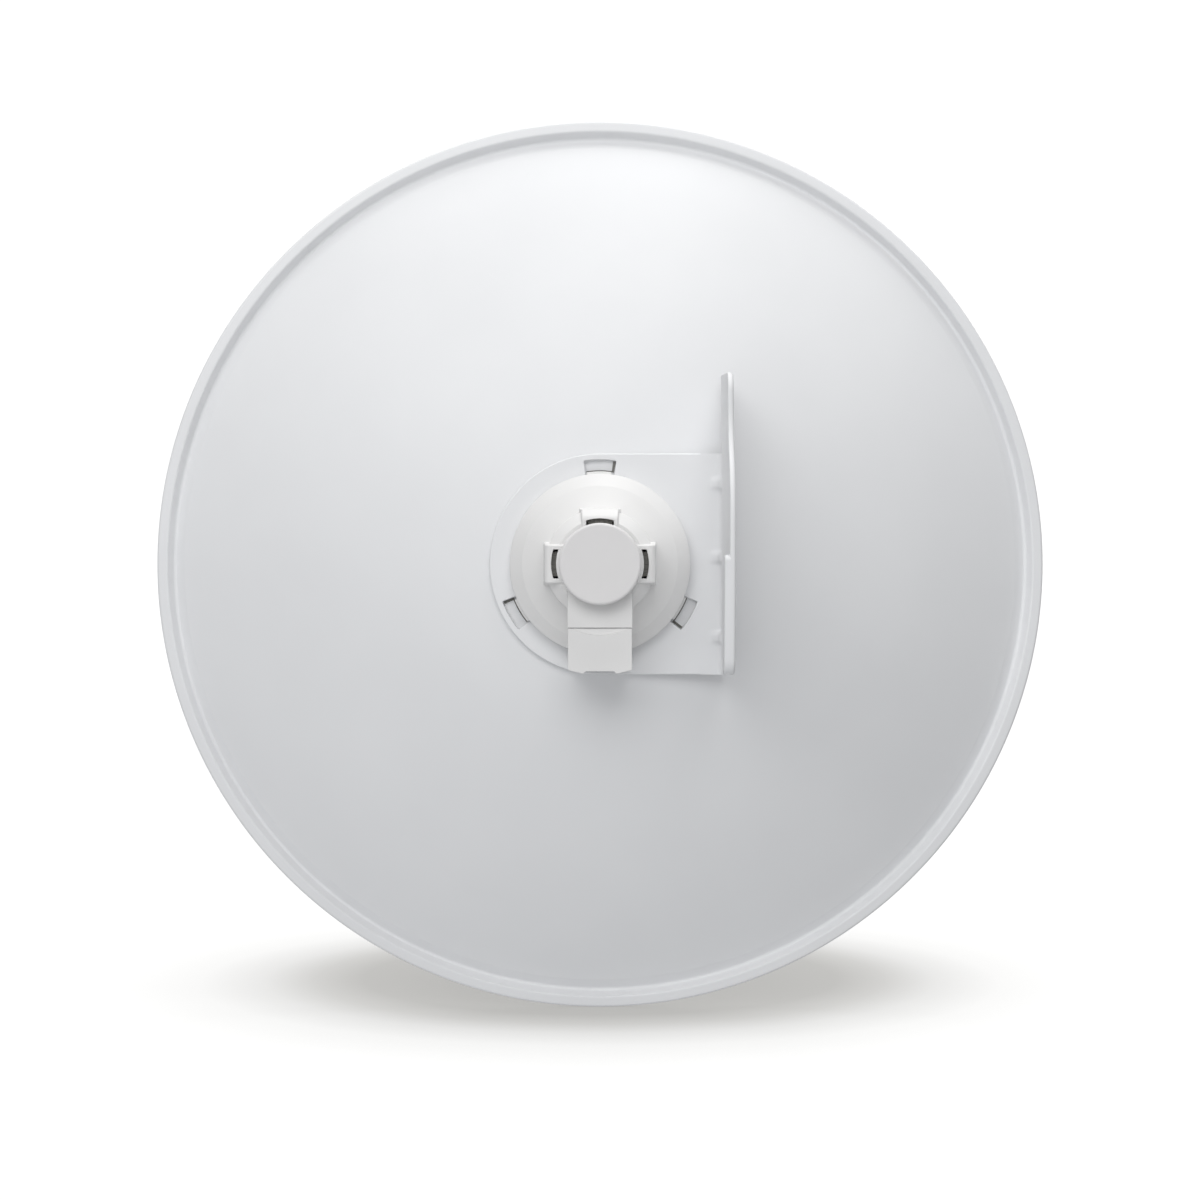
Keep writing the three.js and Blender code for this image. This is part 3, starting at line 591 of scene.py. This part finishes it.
def sheet_bend():
    """The bend between plate and fin, with the darts pressed into it: two grids of points, joined."""
    bm = bmesh.new()
    grids = []
    for radius, dented in ((PLATE, True), (2 * PLATE, False)):
        grid = []
        for j in range(BEND_ROWS + 1):
            z = -PLATE_R + 2 * PLATE_R * j / BEND_ROWS
            line = []
            for x, y in bend_section(radius):
                push = dart_depth(x, y, z) * DIAGONAL if dented else 0
                line.append(bm.verts.new((x - push, y - push, z)))
            grid.append(line)
        grids.append(grid)
    inner, outer = grids
    for grid in grids:
        for one, two in zip(grid, grid[1:]):
            for k in range(len(one) - 1):
                bm.faces.new((one[k], one[k + 1], two[k + 1], two[k]))
    for k in (0, -1):
        for j in range(BEND_ROWS):
            bm.faces.new((inner[j][k], inner[j + 1][k], outer[j + 1][k], outer[j][k]))
    for j in (0, -1):
        for k in range(len(inner[0]) - 1):
            bm.faces.new((inner[j][k], inner[j][k + 1], outer[j][k + 1], outer[j][k]))
    return bm_mesh(bm)


def window_cutter(angle):
    """Cuts one window through the plate: a sector whose two outer corners are rounded."""
    half, inner, outer, fillet = 9, 33.2, 46.8, 1.3
    near = half - 1.6
    first = [polar(outer, near), (*polar(outer, half), fillet), polar(inner, half)]
    second = [polar(inner, -half), (*polar(outer, -half), fillet), polar(outer, -near)]
    outline = arc(0, 0, outer, -near, near, 1.5) + rounded(first, closed=False)[1:]
    outline += arc(0, 0, inner, half, -half, 3)[1:] + rounded(second, closed=False)[1:-1]
    return turn(slab(outline, -PLATE - 0.01, 1, round_low=-0.45), angle)


def sector(inner, outer, start, end, low, high, round_low=0.0, round_high=0.0):
    """A thick piece of a ring about the axis, between two angles."""
    outline = arc(0, 0, outer, start, end, 1.5) + arc(0, 0, inner, end, start, 1.5)
    return slab(outline, low, high, round_low, round_high, steps=3)


def fin():
    """The fin, with the pivot hole and the arc slot cut through it."""
    sheet = slab(fin_outline(), FIN_X - PLATE, FIN_X, round_low=0.5, round_high=1.3, axis="x")
    holes = [fin_slot(), arc(*PIVOT, BOLT_R, 0, 352.5, 7.5)]
    cuts = [slab(hole, FIN_X - PLATE - 0.01, FIN_X + 0.01, -0.4, -0.4, axis="x") for hole in holes]
    return combine(sheet, cuts, "DIFFERENCE")


def hem():
    """The fin's lower rear edge, folded over on to its inner face."""
    front = -FIN_REAR + HEM_DEPTH
    edge = [p for p in fin_outline() if p[0] < front and p[1] < 2]
    outline = rounded([
        *edge,
        (front, edge[-1][1] - 0.1, 2),
        (front, HEM_TOP, 2.2),
        (-FIN_REAR - 0.05, HEM_TOP, 2.2),
    ], steps=8)
    return slab(outline, FIN_X - PLATE - 2.3, FIN_X - PLATE + 0.4, round_low=1.0, axis="x")


def hooks():
    """At each window, a hook that the lug turns in under, and the foot that the hook stands on."""
    made = []
    for angle in WINDOWS:
        made.append(sector(33.2, 37.4, angle - 6.5, angle + 12, -7.3, -5.1, 0.4, 0.3))
        made.append(sector(33.4, 37.2, angle + 9.2, angle + 11.8, -6, -2))
    return made


def bracket():
    """One sheet: the D-shaped plate, the bend and the fin, with its windows, hem and hooks."""
    edge = FIN_X - 2 * PLATE + 0.5
    outline = rounded([(edge, -PLATE_R), (edge, PLATE_R)] + arc(0, 0, PLATE_R, 90, 270, 2))
    plate = slab(outline, -PLATE, 0, round_low=0.6, round_high=0.3)
    cuts = [slab(arc(0, 0, PLATE_HOLE_R, 0, 356.25, 3.75), -10, 10)]
    cuts += [window_cutter(angle) for angle in WINDOWS]
    made = combine(plate, [sheet_bend()], "UNION")
    made = combine(made, cuts, "DIFFERENCE")
    return combine(made, [fin(), hem(), *hooks()], "UNION")


piece("bracket_sheet", bracket(), "dish", PAINT, ["mounting_bracket"], sharp=40)


def painted_shade_strips():
    """Painted shade: thin dark strips beside each lug in the windows, where the gaps lie in shadow."""
    lines = []
    for angle in WINDOWS:
        lines.append(sector(41.5, 42.05, angle - 7.6, angle + 8.5, -0.22, 0.2))
        lines.append(sector(41.5, 46.4, angle - 8.7, angle - 7.3, -0.24, 0.2))
    return join(lines)


# Dark strips that paint the shadow in the window gaps beside the lugs.
piece("window_shade_strips", painted_shade_strips(), "dish", DARK, sharp=40)


# ------------------------------------------------------------------ rear housing

HOUSING_OUTER = [
    (HOUSING_R, -9.5, 0.8),
    (34.6, -14.3, 0.6),
    (24.2, -20.4, 0.7),
    (23.9, -30.7, 0.8),
    (19.4, -35.2, 0.5),
]
SLOTS = {90: (15, 19.8, 6), 180: (19.1, 21.2, 6.3), 0: (19.1, 21.2, 6.3)}
POCKET_REAR = -34.6
POCKET_FRONT = -16.5
BOSS_FRONT = -17.5
BOSSES = ((90, 24.1, 8.0, 3.6), (180, 24.3, 8.4, 1.6), (0, 24.3, 8.4, 1.6))


def boss(outer, half, slope):
    """A block at 0 degrees whose rear face curves away outwards; its sides are drafted."""
    side = rounded([
        (14, BOSS_FRONT),
        (14, BOSS_REAR),
        (outer - slope, BOSS_REAR, 3),
        (outer - 0.2, BOSS_REAR + slope, 1.5),
        (outer + 0.7, BOSS_FRONT),
    ])
    mesh = slab(side, -half, half, round_low=0.8, round_high=0.8, axis="z", steps=5)
    for vertex in mesh.vertices:
        vertex.co.z *= 1 + 0.15 * (vertex.co.y - BOSS_REAR) / 16
    return mesh


def slot_outline(inner, outer, half):
    """A slot with straight ends between two arcs about the axis."""
    a_out = math.degrees(math.asin(half / outer))
    a_in = math.degrees(math.asin(half / inner))
    return arc(0, 0, outer, -a_out, a_out, 2) + arc(0, 0, inner, a_in, -a_in, 2)


def slot_cuts():
    """The slots in the bosses, and the pockets in front of them, which the latch tabs stand in."""
    cuts = []
    for angle, (inner, outer, half) in SLOTS.items():
        slot = slab(slot_outline(inner, outer, half), BOSS_REAR - 0.01, -30, round_low=-0.3)
        cuts.append(turn(slot, angle))
        for reach, rear, wide in ((0.3, POCKET_REAR, half + 0.05), (2.1, POCKET_REAR + 0.4, half + 0.1)):
            pocket = rectangle(15 - reach, -wide, outer + reach, wide)
            cuts.append(turn(slab(pocket, rear, POCKET_FRONT), angle))
    return cuts


def turned_wall():
    """The ring, the bevel, the shallow cone and the hollow collar, turned as one wall."""
    return lathe(rounded([
        (HOUSING_R, LUG_FRONT),
        *HOUSING_OUTER,
        (BORE_R, -35.2, 0.5),
        (BORE_R, -18.2, 0.3),
        (18.8, -18.2, 0.3),
        (18.8, -31.8, 0.4),
        (19.2, -31.8, 0.4),
        (21.8, -28.8, 0.8),
        (22.5, -17.8, 0.8),
        (33.7, -12.2, 1.0),
        (38.2, -8.6, 0.8),
        (38.2, LUG_FRONT),
    ], steps=8), segments=240)


def cheeks(bore):
    """Thin walls on both sides of the port channel, cut off just under the housing's outer face."""
    under = [(r - 0.05, y + 0.05, *fillet) for r, y, *fillet in HOUSING_OUTER]
    profile = rounded([(0, LUG_FRONT), (HOUSING_R - 0.05, LUG_FRONT), *under, (0, -35.1)], steps=8)
    bulk = lathe(profile, segments=120)
    made = []
    for side in (-1, 1):
        left, right = sorted((side * CHANNEL_HALF, side * (CHANNEL_HALF + 1.5)))
        cheek = combine(slab(rectangle(left, -45, right, -13), -40, -4.4), [bulk], "INTERSECT")
        hollow = slab(arc(0, 0, 24.4, 0, 350, 10), NECK_FRONT, 5)
        made.append(combine(cheek, [hollow, bore], "DIFFERENCE"))
    return made


def channel_floor():
    """The floor of the channel, which reaches out past the ring under the port cover."""
    outline = rounded([
        (-15, -37),
        (-11.6, -37),
        (-11.6, -46, 1),
        (11.6, -46, 1),
        (11.6, -37),
        (15, -37),
        (15, -26),
        (-15, -26),
    ])
    return slab(outline, -7.6, -5.6, 0.3, 0.3)


def lugs():
    """Three bayonet lugs at the windows, each a web inside the ring and a nose that reaches out past it."""
    made = []
    for angle in WINDOWS:
        made.append(sector(34.2, 39.5, angle - 6, angle + 8.5, -4.8, LUG_FRONT, 0.3, 0.3))
        made.append(sector(38.4, 41.4, angle - 7, angle + 8.4, -4.8, LUG_FRONT, 0.35, 0.3))
    return made


def housing():
    """The rear housing: the turned wall with bosses, slots, channel and lugs."""
    bore = slab(arc(0, 0, BORE_R, 0, 358, 2), -60, -16)
    channel = slab(rectangle(-CHANNEL_HALF, -60, CHANNEL_HALF, 0), -50, 5)
    bosses = [turn(boss(*shape), angle) for angle, *shape in BOSSES]
    made = combine(turned_wall(), bosses, "UNION")
    made = combine(made, [bore, *slot_cuts(), channel], "DIFFERENCE")
    return combine(made, [*cheeks(bore), channel_floor(), *lugs()], "UNION")


piece("housing_shell", housing(), "radio", WHITE, ["rear_housing"], sharp=38)


# ------------------------------------------------------------------ cap, port housing and cover

def cap():
    """The round cap: a very slightly dished disc with a short skirt."""
    return lathe(rounded([
        (0, CAP_REAR + 0.12),
        (CAP_R - 2.6, CAP_REAR + 0.03, 20),
        (CAP_R, CAP_REAR, 1.3),
        (CAP_R, -40.3, 0.3),
        (CAP_R - 1.8, -40.3, 0.3),
        (CAP_R - 1.8, CAP_REAR + 2, 0.5),
        (0, CAP_REAR + 2),
    ], closed=False, steps=10), segments=200, closed=False)


def rod(radius, rear, front, side):
    """A round rod where a port screw stands, along the dish's axis."""
    return shift(slab(arc(0, 0, radius, 0, 345, 15), rear, front), side * SCREW_X, 0, SCREW_Z)


def port():
    """The upper part of the channel, and the neck that the cap and the tabs hold on to."""
    ledge = -31.4
    neck = lathe(rounded([
        (0, -40),
        (15.7, -40, 0.4),
        (15.7, ledge),
        (16.7, ledge + 0.2, 0.3),
        (16.7, NECK_FRONT),
        (0, NECK_FRONT),
    ], closed=False), segments=160, closed=False)
    half = CHANNEL_HALF - 0.1
    channel = slab(rectangle(-half, PORT_SEAM, half, -4), PORT_REAR, NECK_FRONT, round_low=0.35)
    made = combine(neck, [channel], "UNION")
    hollow = slab(rectangle(-11.9, PORT_SEAM + 2, 11.9, -3), PORT_REAR + 2, 5)
    bore = slab(arc(0, 0, 13.7, 0, 354, 6), PORT_REAR, 5)
    made = combine(made, [hollow, bore], "DIFFERENCE")
    made = combine(made, [rod(3.1, -39.9, NECK_FRONT, side) for side in (-1, 1)], "UNION")
    holes = [rod(1.8, -50, 5, side) for side in (-1, 1)]
    holes += [rod(3.0, -50, -37.8, side) for side in (-1, 1)]
    socket = slab(rectangle(-4.3, -29.7, 5.7, -16.3), -30, -25, axis="z")
    reset = slab(arc(-9.8, -23, 1.6, 0, 345, 15), -31, -24.5, axis="z")
    return combine(made, holes + [socket, reset], "DIFFERENCE")


def cover():
    """The sliding cover: a crescent for the finger under the seam, a sloped foot and a cable notch."""
    top, corner, bottom, notch_half, notch_top = -27.95, -46.1, -47.7, 5.9, -46.6
    outline = list(reversed(rounded([
        (-PORT_HALF, top),
        (PORT_HALF, top),
        (PORT_HALF, corner, 0.7),
        (notch_half + 1.4, bottom, 0.5),
        (notch_half + 0.1, notch_top, 0.6),
        (-notch_half - 0.1, notch_top, 0.6),
        (-notch_half - 1.4, bottom, 0.5),
        (-PORT_HALF, corner, 0.7),
    ])))
    made = slab(outline, PORT_REAR, -5.6, round_low=0.35)
    wall = 1.8
    inside = PORT_HALF - wall
    low = bottom - 1
    cuts = [
        slab(rectangle(-inside, corner + wall, inside, 0), PORT_REAR + wall, 0),
        slab(rectangle(-15, -38.6, 15, 0), -8.1, 0),
        slab(rectangle(-11.9, low, 11.9, 0), -8, 0),
        slab(rectangle(-notch_half, low - 1, notch_half, corner + 3), PORT_REAR + 6, 0),
        crescent(top),
    ]
    return combine(made, cuts, "DIFFERENCE")


def crescent(top):
    """The finger recess: a shallow scoop that is deepest at the seam and runs out in a curve below it."""
    rings = []
    half, drop, depth = 13.2, 3.1, 0.9
    for k in range(9):
        t = k / 8
        scale = math.cos(t * math.pi / 2) ** 0.6 if t < 1 else 0.02
        wide = half * max(scale, 0.05)
        deep = (drop + 0.6) * max(scale, 0.02)
        y = PORT_REAR - 0.02 + depth * (1 - (1 - t) ** 2)
        ring = []
        for j in range(25):
            u = -1 + 2 * j / 24
            ring.append((wide * u, y, top + 0.6 - deep * (1 - u * u)))
        ring += [(wide, y, top + 0.7), (-wide, y, top + 0.7)]
        rings.append(ring)
    return rings_solid(rings)


piece("cap_disc", cap(), "radio", CAP_WHITE, ["tail_cap"])
piece("port_shell", port(), "radio", WHITE, ["port_housing"])
piece("cover_shell", cover(), "port_cover", WHITE, ["port_cover"])


# ------------------------------------------------------------------ feed

def feed():
    """The feed tube: a flange at each end, a groove for the O-ring and three fine grooves round it."""
    groove = []
    for y in (30, 34, 38):
        groove += [(TUBE_R, y - 0.6), (TUBE_R - 0.35, y - 0.3), (TUBE_R - 0.35, y + 0.3), (TUBE_R, y + 0.6)]
    return lathe(rounded([
        (16.5, -14),
        (24, -14, 0.4),
        (24, -12, 0.4),
        (TUBE_R, -12, 0.4),
        (TUBE_R, -1.4),
        (TUBE_R - 0.9, -1.4, 0.2),
        (TUBE_R - 0.9, 1, 0.2),
        (TUBE_R, 1),
        *groove,
        (TUBE_R, 136, 0.5),
        (TUBE_R + 1.3, 137.5, 0.6),
        (TUBE_R + 1.3, TUBE_FRONT - 0.2, 0.8),
        (28.8, TUBE_FRONT - 0.2, 0.3),
        (28.8, TUBE_FRONT + 2, 0.3),
        (16.5, TUBE_FRONT + 2),
    ], steps=6), segments=160)


def feed_cap():
    """The cap over the feed: a very slightly dished face, and a skirt with one fine groove round it."""
    return lathe(rounded([
        (0, FEED_CAP_FRONT - 0.25),
        (12, FEED_CAP_FRONT - 0.2),
        (FEED_CAP_R - 3, FEED_CAP_FRONT, 3.2),
        (FEED_CAP_R, FEED_CAP_FRONT - 7, 2.5),
        (FEED_CAP_R, TUBE_FRONT + 3.4, 0.3),
        (FEED_CAP_R - 0.45, TUBE_FRONT + 3.1, 0.2),
        (FEED_CAP_R - 0.45, TUBE_FRONT + 2.5, 0.2),
        (FEED_CAP_R, TUBE_FRONT + 2.2, 0.3),
        (FEED_CAP_R, TUBE_FRONT, 0.5),
        (FEED_CAP_R - 1.8, TUBE_FRONT, 0.4),
        (FEED_CAP_R - 1.8, FEED_CAP_FRONT - 6, 2.5),
        (FEED_CAP_R - 5, FEED_CAP_FRONT - 2, 2),
        (0, FEED_CAP_FRONT - 2),
    ], closed=False, steps=8), segments=200, closed=False)


def grommet():
    """The collar that closes the dish's hole round the feed tube."""
    return lathe(rounded([
        (TUBE_R + 0.35, -2.3, 0.3),
        (28.4, -2.3, 0.3),
        (28.4, -0.1),
        (26.7, -0.1),
        (26.7, SHEET + 0.1),
        (29.6, SHEET + 0.1, 0.3),
        (29.2, SHEET + 1.7, 0.8),
        (24, SHEET + 5.0, 3),
        (TUBE_R + 0.35, SHEET + 6, 0.5),
    ], steps=6), segments=160)


piece("feed_tube_shell", feed(), "radio", WHITE, ["feed_tube"])
piece("feed_cap_shell", feed_cap(), "radio", WHITE, ["feed_cap"])
piece("grommet_collar", grommet(), "dish", WHITE, ["hub_grommet"])


# ------------------------------------------------------------------ small pieces

def rivet(angle):
    """A rivet through plate and dish, with a domed head behind and a set end in front."""
    x, z = polar(RIVET_CIRCLE_R, angle)
    profile = rounded([
        (0, -4.05),
        (1.1, -4.0),
        (1.3, -3.75, 0.2),
        (1.9, -3.8, 0.4),
        (3.7, -3.2, 0.5),
        (3.9, -PLATE),
        (2.4, -PLATE),
        (2.4, SHEET),
        (3.6, SHEET, 0.1),
        (3.3, SHEET + 0.9, 0.4),
        (1.4, SHEET + 1.3, 0.3),
        (0, SHEET + 0.9),
    ], closed=False, steps=4)
    return shift(lathe(profile, segments=40, closed=False), x, 0, z)


for index, angle in enumerate(RIVET_ANGLES, 1):
    piece(f"rivet_{index}", rivet(angle), "dish", RIVET_PAINT, [f"bracket_rivet_{index}"])


def tab(reach):
    """A latch tab: a tongue with a nose and a ribbed finger pad, on the bar that it flexes about."""
    inner, outer, half, rear, front = 17.6, 18.8, 5.4, -33.5, -15
    tongue = slab(rectangle(inner, -half, outer, half), rear, front, 0.3)
    nose_side = rounded([(16.7, rear), (17.8, rear), (17.8, -31.7), (16.9, -31.7, 0.2)])
    nose = slab(nose_side, -4.4, 4.4, axis="z")
    bar = slab(rectangle(inner, -7.6, outer, 7.6), front - 1.6, front, 0.2)
    pad = slab(rectangle(17.7, -half, reach, half), rear, -31.9, 0.25)
    ribs = []
    for z in (-4, -2, 0, 2, 4):
        ribs.append(slab(rectangle(18.1, z - 0.25, reach - 0.3, z + 0.25), -33.75, -33.2, 0.2))
    return combine(tongue, [nose, bar, pad] + ribs, "UNION")


for name, angle in (("top", 90), ("left", 180), ("right", 0)):
    mesh = turn(tab(SLOTS[angle][1] + 0.4), angle)
    piece(f"tab_{name}", mesh, f"latch_{name}", DARK, [f"latch_tab_{name}"])


def screw(side):
    """A pan head with a cross recess, and its shank."""
    body = lathe(rounded([
        (0, -39.4),
        (1.4, -39.4),
        (2.7, -38.9, 0.6),
        (2.7, -37.8, 0.1),
        (1.5, -37.8),
        (1.5, -12.4),
        (0, -12.4),
    ], closed=False), segments=48, closed=False)
    cross = [slab(rectangle(-a, -b, a, b), -41, -38.5) for a, b in ((1.5, 0.3), (0.3, 1.5))]
    return shift(combine(body, cross, "DIFFERENCE"), side * SCREW_X, 0, SCREW_Z)


for name, side in (("left", -1), ("right", 1)):
    piece(f"screw_{name}", screw(side), "radio", ZINC, [f"port_screw_{name}"])


def contacts():
    """Eight sprung contacts in the network socket."""
    path = [(-27.6, -24.6), (-27.4, -24.9), (-21.6, -17.0), (-21.6, -13.6), (-21.2, -13.6), (-21.2, -17.2)]
    pins = []
    for k in range(8):
        x = -2.6 + 0.94 * k
        pins.append(slab(path, x - 0.18, x + 0.18, axis="x"))
    return join(pins)


piece("socket_contacts", contacts(), "radio", GOLD, sharp=30)


def chips():
    """Small parts on the board: two chips, and rows of tiny blocks on both sides of the shields."""
    board_face = -6.15
    blocks = []

    def block(y, z, height, half_y, half_z):
        outline = rectangle(y - half_y, z - half_z, y + half_y, z + half_z)
        blocks.append(slab(outline, board_face, board_face + height, round_high=0.12, axis="x"))

    block(14, 6.5, 1.0, 3.2, 3.2)
    block(14, -5, 0.9, 2.6, 4)
    for k in range(6):
        block(8.5, -9 + 3.4 * k, 0.6, 0.5, 0.9)
        block(65, -9 + 3.4 * k, 0.5, 0.9, 0.5)
    return join(blocks)


piece("board_parts", chips(), "radio", BLACK, sharp=30)


def dress_cad_solids():
    """Gives every CAD solid its material, and a fine bevel to those that are still shown."""
    for node in frame["record"]["subparts"]:
        solid = frame["nodes"][node["node"]]
        solid.data.materials.clear()
        solid.data.materials.append(SLOT_LOOKS[node["material_slot"]])
        if not solid.hide_render:
            smooth(solid.data, 30)
            edge = solid.modifiers.new("bevel", "BEVEL")
            edge.width = 0.00018
            edge.segments = 2
            edge.limit_method = "ANGLE"
            edge.angle_limit = math.radians(40)


dress_cad_solids()


# ------------------------------------------------------------------ floor, light and camera

AXIS = TO_ROW @ Vector((0, 0, 0))


def floor_material():
    """Pale floor that glows by itself, with a painted shadow on it: a soft grey oval round the dish's foot,
    darkest in its middle.
    """
    look, shader = material("floor", (0.12, 0.12, 0.119), 0.9, specular=0.1)
    tree = look.node_tree
    half_x, half_y, ahead = 0.2, 0.18, 0.15
    oval = tree.nodes.new("ShaderNodeVectorMath")
    oval.operation = "MULTIPLY_ADD"
    oval.inputs[1].default_value = (1 / half_x, 1 / half_y, 0)
    oval.inputs[2].default_value = (0, -ahead / half_y, 0)
    tree.links.new(position(tree), oval.inputs[0])
    away = tree.nodes.new("ShaderNodeVectorMath")
    away.operation = "LENGTH"
    tree.links.new(oval.outputs["Vector"], away.inputs[0])
    # The painted shadow: the floor's glow is dimmest at the oval's middle and white beyond its edge.
    shade = ramp(tree, spread(tree, away.outputs["Value"], 0, 1.6, 0, 1), [
        (0.0, (0.36, 0.356, 0.345)),
        (0.375, (0.45, 0.445, 0.43)),
        (0.45, (0.56, 0.555, 0.54)),
        (0.53, (0.74, 0.737, 0.728)),
        (0.63, (0.88, 0.878, 0.87)),
        (0.86, (1, 1, 0.995)),
    ])
    tree.links.new(shade, shader.inputs["Emission Color"])
    shader.inputs["Emission Strength"].default_value = 0.92
    return look


def lay_floor():
    """A floor just under the dish's rim."""
    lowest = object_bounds()[0][2]
    mesh = bpy.data.meshes.new("floor")
    corners = [(-1.6, -2, 0), (1.6, -2, 0), (1.6, 0.9, 0), (-1.6, 0.9, 0)]
    mesh.from_pydata(corners, [], [(0, 1, 2, 3)])
    mesh.materials.append(floor_material())
    floor = bpy.data.objects.new("floor", mesh)
    floor.location = (AXIS.x, AXIS.y, lowest - 0.0002)
    scene.collection.objects.link(floor)
    floor.visible_diffuse = False
    floor.visible_glossy = False


def studio_world():
    """White to the camera; to everything else a soft grey room, lightest low on the left behind."""
    world = bpy.data.worlds.new("studio")
    scene.world = world
    world.use_nodes = True
    tree = world.node_tree
    tree.nodes.clear()
    coordinates = tree.nodes.new("ShaderNodeTexCoord")
    toward = tree.nodes.new("ShaderNodeVectorMath")
    toward.operation = "DOT_PRODUCT"
    toward.inputs[1].default_value = Vector((-0.3, -0.75, -0.6)).normalized()
    tree.links.new(coordinates.outputs["Generated"], toward.inputs[0])
    tone = ramp(tree, spread(tree, toward.outputs["Value"], -1, 1, 0, 1), [
        (0.0, (0.3, 0.3, 0.3)),
        (0.5, (0.31, 0.312, 0.316)),
        (0.75, (0.44, 0.445, 0.452)),
        (1.0, (0.7, 0.71, 0.725)),
    ])
    room = tree.nodes.new("ShaderNodeBackground")
    tree.links.new(tone, room.inputs["Color"])
    room.inputs["Strength"].default_value = 1.0
    backdrop = tree.nodes.new("ShaderNodeBackground")
    backdrop.inputs["Color"].default_value = (1, 1, 1, 1)
    backdrop.inputs["Strength"].default_value = 1.1
    ray = tree.nodes.new("ShaderNodeLightPath")
    mix = tree.nodes.new("ShaderNodeMixShader")
    tree.links.new(ray.outputs["Is Camera Ray"], mix.inputs["Fac"])
    tree.links.new(room.outputs["Background"], mix.inputs[1])
    tree.links.new(backdrop.outputs["Background"], mix.inputs[2])
    output = tree.nodes.new("ShaderNodeOutputWorld")
    tree.links.new(mix.outputs["Shader"], output.inputs["Surface"])


def softbox(name, offset_from_axis, size, watts):
    """A rectangular light that faces the dish's hub."""
    lamp = bpy.data.lights.new(name, "AREA")
    lamp.shape = "RECTANGLE"
    lamp.size, lamp.size_y = size
    lamp.energy = watts
    made = bpy.data.objects.new(name, lamp)
    made.location = AXIS + Vector(offset_from_axis)
    made.rotation_euler = (AXIS - made.location).to_track_quat("-Z", "Y").to_euler()
    scene.collection.objects.link(made)


def place_camera():
    """Straight along the dish's axis from behind."""
    camera = bpy.data.cameras.new("camera")
    camera.sensor_width = 36
    camera.lens = 73.5
    camera.shift_y = -0.03
    camera.clip_end = 100
    eye = bpy.data.objects.new("camera", camera)
    eye.location = AXIS - Vector((0, 1.1, 0))
    eye.rotation_euler = (math.pi / 2, 0, 0)
    scene.collection.objects.link(eye)
    scene.camera = eye
    scene.view_settings.view_transform = "Standard"


lay_floor()
studio_world()
softbox("key_light", (-0.42, -2.1, 1.4), (2.4, 1.4), 30)
softbox("top_light", (0.3, -0.05, 2.48), (1.8, 1.1), 35.5)
softbox("front_light", (0.5, 2.3, 1.3), (2.2, 1.8), 32)
place_camera()
